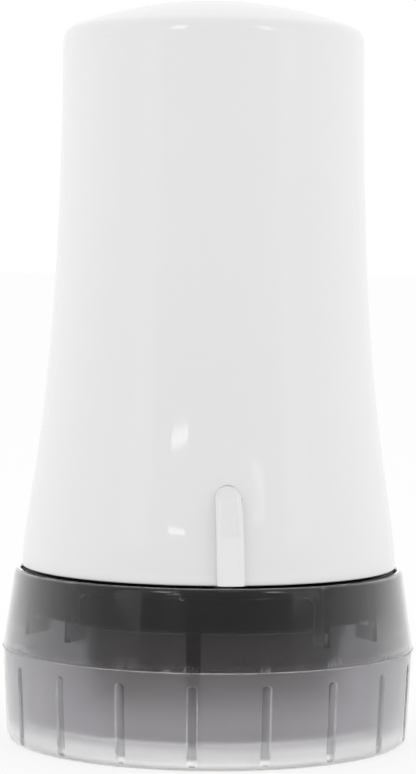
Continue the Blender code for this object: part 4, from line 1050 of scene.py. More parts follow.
class STAMP_OT_lever(bpy.types.Operator):
    """Model the release lever: outside finger, flange behind the slot, hub and hooked arm"""

    bl_idname = 'stamp.lever'
    bl_label = 'Release lever'

    def execute(self, context):
        lever = self.finger(context.scene.stamp_lever)
        arm = add_soft_block('arm', (-ARM_HALF, PIVOT[1], PIVOT[2]),
                             (ARM_HALF, ARM_BACK, ARM_TOP), 0.15 * MM)
        hub = soften(add_rod('hub', 1.3 * MM, 4.6 * MM, PIVOT, 40), 0.12 * MM)
        for part in (self.flange(context.scene.stamp_housing), arm, self.hook(), hub):
            carve(lever, part, 'UNION')
        carve(lever, add_rod('pin_bore', 0.6 * MM, 6.0 * MM, PIVOT))
        finished(lever, 'release_lever', 'lever', 'white_plastic', 32.0)
        return {'FINISHED'}

    def finger(self, sizes):
        """Bar with a round top, rounded face edges and a nose that curves back."""
        foot, face = sizes.finger_foot, -sizes.finger_reach
        finger = add_tongue('lever', sizes.finger_width / 2, -17.2 * MM, face, foot,
                            foot + sizes.finger_height)
        mesh = edit(finger)
        select_where(mesh, 'EDGE', lambda edge: all(v.co.y < face + TINY for v in edge.verts)
                     and max(v.co.z for v in edge.verts) > foot + TINY)
        bpy.ops.mesh.bevel(offset=sizes.finger_rounding, segments=8)
        mesh = bmesh.from_edit_mesh(finger.data)
        select_where(mesh, 'EDGE', lambda edge: all(
            v.co.z < foot + TINY and v.co.y < face + TINY for v in edge.verts))
        bpy.ops.mesh.bevel(offset=0.12 * MM, segments=2)

        bend_start, bend_radius = foot + 4.2 * MM, 9.0 * MM
        slice_mesh([bend_start + 0.35 * MM * step for step in range(1, 14)])
        mesh = bmesh.from_edit_mesh(finger.data)

        def is_in_nose(vertex):
            return vertex.co.y < face + 1.0 * MM and vertex.co.z > bend_start

        for height in sorted({round(v.co.z, 7) for v in mesh.verts if is_in_nose(v)}):
            select_where(mesh, 'VERT',
                         lambda v: is_in_nose(v) and abs(v.co.z - height) < TINY)
            back = bend_radius - math.sqrt(bend_radius ** 2 - (height - bend_start) ** 2)
            bpy.ops.transform.translate(value=(0, back, 0))
        narrow_upward(finger, sizes)
        return finger

    def flange(self, housing):
        """Plate that follows the housing's bore behind the slot."""
        low, high, half, thickness = 18.8 * MM, 28.2 * MM, 2.15 * MM, 0.9 * MM
        gap = 0.4 * MM
        flange = add_soft_block('flange', (-half, -thickness, low), (half, 0, high), 0.15 * MM)
        edit(flange)
        slice_mesh([low + (high - low) * step / 12 for step in range(1, 12)])
        mesh = bmesh.from_edit_mesh(flange.data)
        for height in levels(mesh):
            select_where(mesh, 'VERT', lambda v: abs(v.co.z - height) < TINY)
            reach = math.sqrt(housing_bore(housing, height) ** 2 - half ** 2) - gap
            bpy.ops.transform.translate(value=(0, thickness - reach, 0))
        bpy.ops.object.mode_set(mode='OBJECT')
        return flange

    def hook(self):
        """Hook at the arm's top, with a ramp under it."""
        foot, root, tip, ramp = 29.0 * MM, -14.4 * MM, -13.1 * MM, 1.0 * MM
        hook = add_block('hook', (-ARM_HALF, root, foot), (ARM_HALF, tip, ARM_TOP))
        lifted(hook, ramp, lambda v: v.co.z < foot + TINY and v.co.y > tip - TINY)
        return soften(hook, 0.08 * MM)


# Cap


def grip_radius(cap, z):
    """Outer radius of the cap's grip at a height, beside the grooves."""
    draft = (cap.radius - PARTING_STEP - cap.base_radius) / cap.parting_height
    return cap.base_radius + draft * z


def turn_round_cap(place):
    """Angle in degrees of a place round the turned cap."""
    return math.degrees(math.atan2(place.x, -place.y)) - CAP_TURN


def turn_from_groove(cap, place):
    """Angle in degrees between a place and the nearest grip groove."""
    pitch = 360.0 / cap.groove_count
    return abs((turn_round_cap(place) + pitch / 2) % pitch - pitch / 2)


def cap_section(cap):
    """Half section of the cap, from under its floor round the outside to its floor."""
    foot_radius, recess = cap.base_radius - 2.35 * MM, 0.8 * MM
    lower_radius = cap.radius - PARTING_STEP
    shoulder_radius = cap.radius - 0.07 * MM
    flash_radius = cap.radius - 0.03 * MM
    core_radius = cap.bore_radius - CORE_DRAFT
    parting = cap.parting_height
    corners = [
        (0.0, recess, 0), (0.5 * foot_radius, recess, 0), (foot_radius, recess, 0.25 * MM),
        (foot_radius, 0.0, 0.2 * MM), (cap.base_radius, 0.0, 0.9 * MM)]
    corners += [(grip_radius(cap, z * MM), z * MM, 0) for z in GRIP_RINGS]
    corners += [
        (lower_radius, parting - 0.06 * MM, 0), (flash_radius, parting - 0.02 * MM, 0),
        (flash_radius, parting + 0.03 * MM, 0), (shoulder_radius, parting + 0.07 * MM, 0)]
    for step in range(1, 6):
        share = step / 6
        corners.append((shoulder_radius + (cap.rim_radius - shoulder_radius) * share,
                        parting + (cap.height - parting) * share, 0))
    corners += [(cap.rim_radius, cap.height, 0.6 * MM), (cap.bore_radius, cap.height, 0.3 * MM)]
    for step in range(1, 5):
        share = step / 5
        corners.append((cap.bore_radius + (core_radius - cap.bore_radius) * share,
                        cap.height + (CAP_FLOOR - cap.height) * share * 0.9, 0))
    corners += [(core_radius, CAP_FLOOR, 0.9 * MM), (9.0 * MM, CAP_FLOOR, 0), (0.0, CAP_FLOOR, 0)]
    return eased(corners, 6)


class STAMP_OT_cap(bpy.types.Operator):
    """Model the smoke cap: parting line, grip grooves, ribs, stops, keys and pads"""

    bl_idname = 'stamp.cap'
    bl_label = 'Cap'

    def execute(self, context):
        sizes = context.scene.stamp_cap
        columns = [-angle for angle in reversed(GROOVE_COLUMNS[1:-1])] + GROOVE_COLUMNS
        cap = turn_on_lathe('smoke_cap', cap_section(sizes), len(columns) * sizes.groove_count)
        self.space_columns(cap, columns, sizes)
        self.press_grooves(cap, sizes)
        self.fray_flash(cap, sizes)
        for angle in RIB_ANGLES:
            rib = self.rib(sizes, angle, RIB_HALF, RIB_HEIGHTS, RIB_HEIGHTS[0], RIB_FOOT_REACH)
            carve(cap, rib, 'UNION')
        key_foot = CAP_FLOOR - 0.3 * MM
        for angle in KEY_ANGLES:
            carve(cap, self.pad(sizes, angle), 'UNION')
            key = self.rib(sizes, angle, KEY_HALF, KEY_HEIGHTS, key_foot, KEY_FOOT_REACH)
            carve(cap, key, 'UNION')
        smooth(cap, 40.0)
        wear(cap, SLOT_FINISHES['smoke_plastic'])
        self.paint_rim_highlights_and_frost_flash(cap, sizes)
        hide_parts('cap')
        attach(cap, 'cap')
        return {'FINISHED'}

    def space_columns(self, cap, columns, sizes):
        """Crowd the columns of vertices together round each groove, and turn the cap."""
        mesh = edit(cap)
        pitch = 360.0 / sizes.groove_count
        spread = pitch / len(columns)
        first = columns.index(0.0)
        groups = {}
        for vertex in mesh.verts:
            if vertex.co.xy.length > TINY:
                angle = math.degrees(math.atan2(vertex.co.x, -vertex.co.y))
                column = round(angle / spread) % len(columns)
                groups.setdefault(column, []).append(vertex)
        bpy.ops.mesh.select_mode(type='VERT')
        for column, vertices in groups.items():
            place = (column + first) % len(columns)
            start = column * spread
            if start > pitch / 2 + TINY:
                start -= pitch
            select_only(vertices)
            turn = math.radians(columns[place] - start + CAP_TURN)
            bpy.ops.transform.rotate(value=-turn, orient_axis='Z', center_override=(0, 0, 0))
        bpy.ops.object.mode_set(mode='OBJECT')

    def press_grooves(self, cap, sizes):
        """Press the round-bottomed grip grooves into the wall, running out toward the foot."""
        mesh = edit(cap)
        tool = sizes.groove_radius
        top = sizes.parting_height - GROOVE_TOP_GAP
        margin = 0.1 * MM
        groups = {}
        for vertex in mesh.verts:
            radius, height = vertex.co.xy.length, vertex.co.z
            if radius < sizes.bore_radius + margin or height > top + margin:
                continue
            offset = turn_from_groove(sizes, vertex.co)
            if offset < GROOVE_HALF_ANGLE:
                key = (round(height, 6), round(offset, 2), round(radius, 6))
                groups.setdefault(key, []).append(vertex)
        for (height, offset, radius), vertices in groups.items():
            below_top = max(0.0, height - (top - tool))
            run_out = max(0.0, min(1.0, (height - sizes.groove_foot) / GROOVE_RUN_OUT))
            if below_top >= tool or run_out <= 0:
                continue
            reach = grip_radius(sizes, height) - sizes.groove_depth * run_out + tool
            tool_radius = math.sqrt(tool ** 2 - below_top ** 2)
            side = reach * math.sin(math.radians(offset))
            if side >= tool_radius:
                floor = radius + (side - tool_radius) * GROOVE_FLANK
            else:
                floor = reach * math.cos(math.radians(offset)) - math.sqrt(
                    tool_radius ** 2 - side ** 2)
            blend = max(0.0, min(1.0, 0.5 + 0.5 * (floor - radius) / GROOVE_EASE))
            target = floor + (radius - floor) * blend - GROOVE_EASE * blend * (1 - blend)
            if target > radius - TINY:
                continue
            select_only(vertices)
            factor = target / radius
            bpy.ops.transform.resize(value=(factor, factor, 1), center_override=(0, 0, height))
        bpy.ops.object.mode_set(mode='OBJECT')

    def fray_flash(self, cap, sizes):
        """Make the flash along the parting line ragged."""
        select_where(edit(cap), 'VERT', lambda v: abs(v.co.z - sizes.parting_height) < 0.04 * MM
                     and v.co.xy.length > sizes.radius - 0.04 * MM)
        bpy.ops.transform.vertex_random(offset=0.04 * MM, uniform=1.0, seed=7)
        bpy.ops.object.mode_set(mode='OBJECT')

    def paint_rim_highlights_and_frost_flash(self, cap, sizes):
        """Give the flash its frosted finish, and paint highlights on the rims of the grooves and
        pads with the same pale material.
        """
        def is_within(value, limits):
            return limits[0] < value < limits[1]

        def is_flash(middle):
            return (abs(middle.z - sizes.parting_height) < FLASH_HALF_HEIGHT
                    and middle.xy.length > sizes.radius - FLASH_DEPTH)

        def is_groove_rim(middle):
            depth = grip_radius(sizes, middle.z) - middle.xy.length
            return (GROOVE_RIM_FOOT < middle.z < sizes.parting_height - GROOVE_RIM_GAP
                    and turn_from_groove(sizes, middle) < GROOVE_RIM_ANGLE
                    and is_within(depth, GROOVE_RIM_DEPTHS))

        def is_pad_rim(middle, normal):
            turn = abs((turn_round_cap(middle) + 90.0) % 180.0 - 90.0)
            return (is_within(turn, PAD_RIM_ANGLES)
                    and PAD_LOW - PAD_RIM_MARGIN < middle.z < PAD_HIGH + PAD_RIM_MARGIN
                    and is_within(sizes.bore_radius - middle.xy.length, PAD_RIM_DEPTHS)
                    and abs(normal.dot(middle.normalized())) < PAD_RIM_SLOPE)

        # The rims of the grooves and pads get the pale material as painted highlights.
        def is_flash_or_highlighted_rim(face):
            middle = face.calc_center_median()
            return is_flash(middle) or is_groove_rim(middle) or is_pad_rim(middle, face.normal)

        cap.data.materials.append(bpy.data.materials['Frosted flash'])
        select_where(edit(cap), 'FACE', is_flash_or_highlighted_rim)
        cap.active_material_index = 1
        bpy.ops.object.material_slot_assign()
        bpy.ops.object.mode_set(mode='OBJECT')

    def rib(self, sizes, angle, half, heights, foot, foot_reach):
        """Rib down the bore at an angle, with a deeper foot: a stop for the skirt or a key."""
        outer = -(sizes.bore_radius + 0.3 * MM)
        rib = add_soft_block('rib', (-half, outer, heights[0]), (half, -RIB_REACH, heights[1]),
                             0.1 * MM)
        deeper = add_soft_block('rib_foot', (-half, outer, foot), (half, -foot_reach, SKIRT_STOP),
                                0.15 * MM)
        carve(rib, deeper, 'UNION')
        return turned(rib, z=math.radians(angle + CAP_TURN))

    def pad(self, sizes, angle):
        """Thin raised pad with rounded corners, bent round the bore."""
        inner = sizes.bore_radius - 0.2 * MM
        outer = sizes.bore_radius + 0.25 * MM
        length = 2 * math.radians(PAD_HALF_ANGLE) * inner
        pad = add_block('pad', (-length / 2, -outer, PAD_LOW), (length / 2, -inner, PAD_HIGH))
        mesh = edit(pad)
        select_where(mesh, 'EDGE', lambda edge: not is_level(edge, Y_AXIS))
        bpy.ops.mesh.bevel(offset=1.0 * MM, segments=6)
        mesh = bmesh.from_edit_mesh(pad.data)
        select_where(mesh, 'EDGE', lambda edge: all(v.co.y > -inner - TINY for v in edge.verts))
        bpy.ops.mesh.bevel(offset=0.08 * MM, segments=2)
        cuts = 40
        slice_mesh([length * (step / cuts - 0.5) for step in range(1, cuts)], X_AXIS)
        mesh = bmesh.from_edit_mesh(pad.data)
        groups = {side: [v for v in mesh.verts if abs(v.co.x - side) < TINY]
                  for side in levels(mesh, X_AXIS)}
        bpy.ops.mesh.select_mode(type='VERT')
        for side, vertices in groups.items():
            select_only(vertices)
            bpy.ops.transform.translate(value=(-side, 0, 0))
            bpy.ops.transform.rotate(value=-side / inner, orient_axis='Z',
                                     center_override=(0, 0, 0))
        bpy.ops.object.mode_set(mode='OBJECT')
        return turned(pad, z=math.radians(angle + CAP_TURN))


# Rollers


class STAMP_OT_die(bpy.types.Operator):
    """Model the printing sleeve and its raised hiding pattern"""

    bl_idname = 'stamp.die'
    bl_label = 'Printing sleeve'

    def execute(self, context):
        sizes = context.scene.stamp_die
        half = sizes.width / 2
        corners = [
            (sizes.bore_radius, -half, 0.1 * MM), (sizes.base_radius, -half, 0.25 * MM),
            (sizes.base_radius, half, 0.25 * MM), (sizes.bore_radius, half, 0.1 * MM)]
        sleeve = turn_along_x('printing_sleeve', corners, 156, STAMP_HEIGHT, steps=4)
        sleeve = joined('printing_sleeve', [sleeve, self.marks(sizes)])
        finished(sleeve, 'die_sleeve', 'stamp_roller', 'stamp_rubber')
        return {'FINISHED'}

    def marks(self, sizes):
        """A tile of bars and short studs, repeated along and round the sleeve."""
        rounds, across, per_side = 13, 6, 4
        pitch = sizes.width / (across * per_side)
        step = 2 * math.pi / (rounds * per_side)
        half_width, bar, stud = 0.14 * MM, 0.38 * MM, 0.20 * MM
        low = sizes.base_radius - 0.1 * MM
        turns = (0, 90, 45, 0, 135, 0, 90, 45, 90, 135, 0, 90, 45, 0, 135, 90)
        forms = []
        for index, turn in enumerate(turns):
            column, row = index % per_side, index // per_side
            half_length = stud if index % 5 == 2 else bar
            mark = add_block('mark', (-half_length, -half_width, low),
                             (half_length, half_width, sizes.radius))
            select_where(edit(mark), 'FACE', lambda face: face.normal.z > 0.5)
            bpy.ops.mesh.bevel(offset=0.05 * MM, segments=1)
            bpy.ops.object.mode_set(mode='OBJECT')
            turned(mark, z=math.radians(turn))
            moved(mark, ((column + 0.5) * pitch - sizes.width / 2, 0, 0))
            forms.append(turned(mark, x=row * step))
        tile = joined('marks', forms)
        apply_modifier(tile, 'ARRAY', count=across, use_relative_offset=False,
                       use_constant_offset=True,
                       constant_offset_displace=(pitch * per_side, 0, 0))
        clear_selection()
        bpy.ops.object.empty_add(location=(0, 0, 0), rotation=(step * per_side, 0, 0))
        hinge = bpy.context.object
        apply_modifier(tile, 'ARRAY', count=rounds, use_relative_offset=False,
                       use_object_offset=True, offset_object=hinge)
        bpy.data.objects.remove(hinge)
        return moved(tile, (0, 0, STAMP_HEIGHT))


class STAMP_OT_drum(bpy.types.Operator):
    """Model the stamp roller's drum and the two caps that close it"""

    bl_idname = 'stamp.drum'
    bl_label = 'Drum'

    def execute(self, context):
        half = context.scene.stamp_die.width / 2
        rim, rim_bore, hub, bore = 6.7 * MM, 5.7 * MM, 2.3 * MM, 1.3 * MM
        web, edge, root = 0.5 * MM, 0.12 * MM, 0.3 * MM
        core = mirrored([
            (rim, half, edge), (rim_bore, half, edge), (rim_bore, web, root), (hub, web, root),
            (hub, half, edge), (bore, half, edge)])
        drum = turn_along_x('drum', core, 96, STAMP_HEIGHT, steps=3)
        self.add_spokes(drum, hub, rim_bore, web)
        finished(drum, 'drum_core', 'stamp_roller', 'grey_plastic')
        for name, side in (('left', -1), ('right', 1)):
            cap = self.end_cap(f'drum_cap_{name}', half, side)
            finished(cap, f'drum_end_cap_{name}', 'stamp_roller', 'grey_plastic')
        return {'FINISHED'}

    def add_spokes(self, drum, hub, rim_bore, web):
        """Stiffen both sides of the web with six low spokes."""
        half, height, root = 0.35 * MM, 0.8 * MM, 0.2 * MM
        for index in range(6):
            spoke = add_soft_block('spoke', (-web - height, -half, hub - root),
                                   (web + height, half, rim_bore + root), 0.1 * MM)
            turned(spoke, x=math.radians(60 * index))
            carve(drum, moved(spoke, (0, 0, STAMP_HEIGHT)), 'UNION')

    def end_cap(self, name, half, side):
        """Disc with a stepped face and a ring that plugs into the drum."""
        bore, hub, plug, rim = 1.3 * MM, 2.8 * MM, 5.6 * MM, 7.9 * MM
        inner, outer, depth = half + 0.1 * MM, half + 0.9 * MM, half - 1.1 * MM
        sunk, ease = outer - 0.15 * MM, 0.08 * MM
        corners = [
            (bore, inner, 0), (plug - 0.8 * MM, inner, 0.1 * MM),
            (plug - 0.8 * MM, depth, 0.1 * MM), (plug, depth, 0.15 * MM), (plug, inner, 0.1 * MM),
            (rim, inner, 0.1 * MM), (rim, outer, 0.2 * MM), (rim - 1.0 * MM, outer, ease),
            (rim - 1.2 * MM, sunk, ease), (hub + 0.2 * MM, sunk, ease), (hub, outer, ease),
            (bore, outer, 0.1 * MM)]
        return turn_along_x(name, [(r, side * x, e) for r, x, e in corners], 96, STAMP_HEIGHT,
                            steps=3)


class STAMP_OT_ink_roller(bpy.types.Operator):
    """Model the ink roller: its flanged core and its soaked foam"""

    bl_idname = 'stamp.ink_roller'
    bl_label = 'Ink roller'

    def execute(self, context):
        sizes = context.scene.stamp_ink
        flange, bore, reach, thickness = 3.4 * MM, 1.0 * MM, 12.9 * MM, 0.8 * MM
        corners = mirrored([
            (sizes.core_radius, reach - thickness, 0.1 * MM), (flange, reach - thickness, 0.1 * MM),
            (flange, reach, 0.15 * MM), (bore, reach, 0.1 * MM)])
        core = turn_along_x('ink_roller_core', corners, 72, INK_HEIGHT, steps=3)
        finished(core, 'ink_core', 'ink_roller', 'grey_plastic')
        finished(self.foam(sizes), 'ink_sleeve', 'ink_roller', 'ink_foam', 60.0)
        return {'FINISHED'}

    def foam(self, sizes):
        """Foam sleeve with rounded ends and an uneven open-cell skin."""
        half, bore = sizes.width / 2, sizes.core_radius + 0.1 * MM
        skin = sizes.radius - sizes.pore
        rows = 64
        corners = [(bore, -half, 0.1 * MM), (skin, -half, 0.7 * MM)]
        corners += [(skin, half * (2 * row / rows - 1), 0) for row in range(5, rows - 4)]
        corners += [(skin, half, 0.7 * MM), (bore, half, 0.1 * MM)]
        foam = turn_along_x('ink_foam', corners, 128, INK_HEIGHT, steps=4)
        select_where(edit(foam), 'VERT', lambda v: math.hypot(v.co.y, v.co.z - INK_HEIGHT)
                     > bore + 0.3 * MM)
        bpy.ops.transform.vertex_random(offset=sizes.pore, uniform=1.0, seed=3)
        bpy.ops.object.mode_set(mode='OBJECT')
        return foam


class STAMP_OT_axles(bpy.types.Operator):
    """Turn the axles and the lever's pin, and bend the clips and leaf springs"""

    bl_idname = 'stamp.axles'
    bl_label = 'Axles, clips and springs'

    def execute(self, context):
        radius, groove, ease = 1.2 * MM, 0.8 * MM, 0.03 * MM
        near, far = CHEEK_END, CHEEK_END + 0.6 * MM
        clip_grooves = [(radius, near, ease), (groove, near, ease), (groove, far, ease),
                        (radius, far, ease)]
        axles = {
            'stamp_axle': self.pin('stamp_roller_axle', radius, 0.2 * MM, CHEEK_END + 1.1 * MM,
                                   STAMP_HEIGHT, clip_grooves),
            'ink_axle': self.pin('ink_roller_axle', 0.9 * MM, 0.2 * MM, CHEEK_END - 0.2 * MM,
                                 INK_HEIGHT),
            'lever_pin': self.pin('pivot_pin', 0.5 * MM, 0.1 * MM, 3.7 * MM, PIVOT[2], y=PIVOT[1]),
        }
        for node, axle in axles.items():
            finished(axle, node, 'handle', 'steel')
        for name, side in (('left', -1), ('right', 1)):
            finished(self.clip(f'clip_{name}', side), f'axle_clip_{name}', 'handle', 'steel')
            finished(self.leaf(f'leaf_{name}', side), f'ink_spring_{name}', 'handle', 'steel')
        return {'FINISHED'}

    def pin(self, name, radius, chamfer, half, height, grooves=(), y=0.0):
        """Round bar with chamfered ends, and grooves given for its right half."""
        ease = 0.04 * MM
        right = [*grooves, (radius, half - chamfer, ease), (radius - chamfer, half, ease),
                 (0.0, half, 0)]
        left = mirrored(right)[len(right):]
        return turn_along_x(name, left + right, 48, height, y)

    def clip(self, name, side):
        """Spring clip with inner teeth and an open mouth below."""
        low, high = sorted((side * (CHEEK_END + 0.1 * MM), side * (CHEEK_END + 0.5 * MM)))
        inner, outer, overrun, tooth_radius = 0.9 * MM, 2.2 * MM, 1.0 * MM, 1.05 * MM
        corners = [(inner, low, 0.05 * MM), (outer, low, 0.08 * MM),
                   (outer, high, 0.08 * MM), (inner, high, 0.05 * MM)]
        clip = turn_along_x(name, corners, 72, STAMP_HEIGHT)
        carve(clip, add_block('mouth', (low - overrun, -0.75 * MM, STAMP_HEIGHT - 3.0 * MM),
                              (high + overrun, 0.75 * MM, STAMP_HEIGHT)))
        for angle in (math.radians(35), math.radians(145)):
            place = ((low + high) / 2, tooth_radius * math.cos(angle),
                     STAMP_HEIGHT + tooth_radius * math.sin(angle))
            carve(clip, add_rod('gap', 0.45 * MM, 2.0 * MM, place))
        return clip

    def leaf(self, name, side):
        """Bowed leaf spring in a cheek's pocket, over the ink axle."""
        half_span, bow, half_width, thickness = 2.7 * MM, 1.6 * MM, 0.35 * MM, 0.25 * MM
        middle = side * (CHEEK_X + CHEEK_WALL / 2)
        low, high, ease = middle - half_width, middle + half_width, 0.04 * MM
        curve = (half_span ** 2 + bow ** 2) / (2 * bow)
        height = INK_HEIGHT + 1.0 * MM + curve
        inner, room = curve - thickness, 5 * MM
        corners = [(inner, low, ease), (curve, low, ease), (curve, high, ease), (inner, high, ease)]
        leaf = turn_along_x(name, corners, 120, height)
        over = add_block('over', (middle - room, -room, height - curve + bow),
                         (middle + room, room, height + room))
        return carve(leaf, over)


# Cartridge and chassis


class STAMP_OT_cartridge(bpy.types.Operator):
    """Model the cartridge: the frame with its left cheek, and the right side plate"""

    bl_idname = 'stamp.cartridge'
    bl_label = 'Cartridge'

    def execute(self, context):
        holder = self.cheek('cartridge', -1)
        tongue = add_soft_block('tongue', (-2.2 * MM, -13.4 * MM, PLATE_Z),
                                (2.2 * MM, TONGUE_ROOT, PLATE_Z + MM), 0.15 * MM)
        for part in (self.channel(), *self.pegs(0.8 * MM, 0.0, 0.0), tongue, self.gusset()):
            carve(holder, part, 'UNION')
        finished(holder, 'cartridge_frame', 'handle', 'grey_plastic')
        plate = self.cheek('side_plate', 1)
        for hole in self.pegs(0.9 * MM, 0.1 * MM, 1.0 * MM):
            carve(plate, hole)
        finished(plate, 'cartridge_side_plate', 'handle', 'grey_plastic')
        return {'FINISHED'}

    def cheek(self, name, side):
        """A lobe round the stamp axle that widens to the shoulders over the ink roller."""
        low, high = sorted((side * CHEEK_X, side * CHEEK_END))
        half_depth, shoulder = 6.2 * MM, 21.0 * MM
        axle = ((low + high) / 2, 0, STAMP_HEIGHT)
        shoulders = add_block('shoulders', (low, -half_depth, shoulder),
                              (high, half_depth, CHEEK_HIGH.z))
        self.round_top(shoulders, CHEEK_HIGH.z, 1.0 * MM, 8)
        lobe = add_rod('lobe', 3.4 * MM, CHEEK_WALL, axle, 96)
        cheek = joined(name, [shoulders, lobe])
        edit(cheek)
        bpy.ops.mesh.select_all(action='SELECT')
        bpy.ops.mesh.convex_hull()
        bpy.ops.mesh.select_all(action='SELECT')
        bpy.ops.mesh.dissolve_limited(angle_limit=math.radians(0.5))
        bpy.ops.object.mode_set(mode='OBJECT')
        carve(cheek, add_rod('axle_bore', 1.3 * MM, 4 * MM, axle, 64))
        slot_foot = INK_HEIGHT - 1.2 * MM
        slot = add_block('slot', (low - MM, -1.0 * MM, slot_foot),
                         (high + MM, 1.0 * MM, INK_HEIGHT + 1.0 * MM))
        round_edges(slot, FULL_ROUND * MM, 10, lambda edge: is_level(edge, Y_AXIS)
                    and all(v.co.z < slot_foot + TINY for v in edge.verts))
        carve(cheek, slot)
        carve(cheek, add_block('pocket', (low - MM, -3.0 * MM, INK_HEIGHT + 0.9 * MM),
                               (high + MM, 3.0 * MM, INK_HEIGHT + 2.95 * MM)))
        soften(cheek, 0.08 * MM)
        ends = sorted((side * (CHEEK_END - 0.4 * MM), side * (CHEEK_END + 1.2 * MM)))
        lug = add_soft_block('lug', (ends[0], -2.2 * MM, 14.9 * MM),
                             (ends[1], 2.2 * MM, 16.1 * MM), 0.2 * MM)
        return carve(cheek, lug, 'UNION')

    def round_top(self, block, top, radius, segments):
        """Round the two long upper edges of a block that runs along X."""
        round_edges(block, radius, segments,
                    lambda edge: is_over(edge, top - TINY) and is_level(edge, Y_AXIS))

    def channel(self):
        """Channel over the ink roller, open below."""
        guard, wall, foot = 5.9 * MM, 0.8 * MM, 21.7 * MM
        top = PLATE_Z + 1.2 * MM
        end = CHEEK_X - 0.1 * MM
        channel = add_block('channel', (-CHEEK_X - 0.4 * MM, -guard, foot), (end, guard, top))
        self.round_top(channel, top, 0.6 * MM, 6)
        hollow = add_block('hollow', (-CHEEK_X - 0.2 * MM, wall - guard, foot - MM),
                           (end + MM, guard - wall, PLATE_Z))
        self.round_top(hollow, PLATE_Z, 0.4 * MM, 4)
        return soften(carve(channel, hollow), 0.06 * MM)

    def pegs(self, half, gap, overrun):
        """Two pegs on the channel's end, or the holes that take them."""
        near, far = CHEEK_X - 0.5 * MM - overrun, CHEEK_END + overrun
        low, high = PLATE_Z + 0.2 * MM - gap, PLATE_Z + MM + gap
        return [add_soft_block('peg', (near, middle - half, low), (far, middle + half, high),
                               0.08 * MM) for middle in (-3.5 * MM, 3.5 * MM)]

    def gusset(self):
        """Rib that holds the tongue up from below."""
        top, low = PLATE_Z + 0.5 * MM, PLATE_Z - 4.8 * MM
        gusset = add_block('gusset', (-0.6 * MM, -12.0 * MM, low), (0.6 * MM, TONGUE_ROOT, top))
        lifted(gusset, PLATE_Z - 0.4 * MM - low,
               lambda v: v.co.z < low + TINY and v.co.y < TONGUE_ROOT - TINY)
        return soften(gusset, 0.12 * MM)


class STAMP_OT_chassis(bpy.types.Operator):
    """Model the chassis ring: skirt, deck, beaded spigot, rails and the lever's ears"""

    bl_idname = 'stamp.chassis'
    bl_label = 'Chassis ring'

    def execute(self, context):
        sizes = context.scene.stamp_chassis
        section = self.section(sizes, context.scene.stamp_housing)
        chassis = turn_on_lathe('chassis', section, 192)
        for side in (-1, 1):
            carve(chassis, self.rail(sizes, side), 'UNION')
            carve(chassis, self.ear(side), 'UNION')
        carve(chassis, self.opening(sizes))
        for name, (low, high) in self.notches(sizes).items():
            carve(chassis, add_block(name, [v * MM for v in low], [v * MM for v in high]))
        carve(chassis, add_rod('pin_bore', 0.6 * MM, 10 * MM, PIVOT))
        finished(chassis, 'chassis_ring', 'handle', 'black_plastic')
        return {'FINISHED'}

    def notches(self, sizes):
        """Corners in millimetres of the cuts for the tongue, the lever, its leaf and the ribs."""
        back = 1.0 - sizes.opening_half_depth / MM
        return {
            'tongue_notch': ((-2.5, -13.7, 12.0), (2.5, back, 28.0)),
            'lever_notch': ((-2.6, -20.0, 17.7), (2.6, -13.854, 27.0)),
            'leaf_pocket': ((-1.1, -15.53, 16.7), (1.1, -15.08, 19.0)),
            'left_rib_notch': ((-20.0, -1.0, 18.2), (-15.0, 1.0, 25.0)),
            'right_rib_notch': ((15.9, -1.0, 18.2), (20.0, 1.0, 25.0)),
        }

    def section(self, sizes, housing):
        """Half section of the ring before its openings are cut."""
        skirt_bore = sizes.skirt_radius - sizes.skirt_wall
        skirt_foot = CHASSIS_LOW.z
        deck = DECK_TOP - sizes.deck
        middle = 7.5 * MM

        def spigot(z):
            return housing_bore(housing, z) - 0.3 * MM

        top = SNAP_HEIGHT + 2.0 * MM
        below, above = SNAP_HEIGHT - SNAP_HALF, SNAP_HEIGHT + SNAP_HALF
        bead = spigot(SNAP_HEIGHT) + SNAP_DEPTH
        return eased([
            (skirt_bore, skirt_foot, 0.2 * MM), (sizes.skirt_radius, skirt_foot, 0.3 * MM),
            (sizes.skirt_radius, DECK_TOP, 0.15 * MM), (spigot(DECK_TOP), DECK_TOP, 0.1 * MM),
            (spigot(below), below, 0.15 * MM), (bead, SNAP_HEIGHT, 0.25 * MM),
            (spigot(above), above, 0.15 * MM), (spigot(top), top, 0.25 * MM),
            (spigot(top) - MM, top, 0.2 * MM), (spigot(DECK_TOP) - MM, DECK_TOP, 0.3 * MM),
            (middle, DECK_TOP, 0), (middle, deck, 0), (skirt_bore, deck, 0.4 * MM)], 4)

    def rail(self, sizes, side):
        """Rail that guides a cheek of the cartridge."""
        inner = sizes.opening_half_width
        ends = sorted((side * (inner - 0.4 * MM), side * (inner + 1.2 * MM)))
        return add_soft_block('rail', (ends[0], -2.5 * MM, DECK_TOP - ROOT),
                              (ends[1], 2.5 * MM, CHASSIS_HIGH.z), 0.25 * MM, 3)

    def ear(self, side):
        """Ear with a round top that carries the lever's pin."""
        low, high = sorted((side * 2.2 * MM, side * 3.7 * MM))
        radius = 1.25 * MM
        ear = add_block('ear', (low, PIVOT[1] - radius, DECK_TOP - ROOT),
                        (high, PIVOT[1] + radius, PIVOT[2] + radius))
        round_edges(ear, radius * FULL_ROUND, 12,
                    lambda edge: is_over(edge, PIVOT[2]) and is_level(edge, Y_AXIS))
        return soften(ear, 0.08 * MM)

    def opening(self, sizes):
        """The cartridge's way through the deck."""
        width, depth = sizes.opening_half_width, sizes.opening_half_depth
        opening = add_block('opening', (-width, -depth, 12.0 * MM), (width, depth, 28.0 * MM))
        round_edges(opening, 3.0 * MM, 10, lambda edge: not is_level(edge, Z_AXIS))
        return opening


# Frame pieces and stage


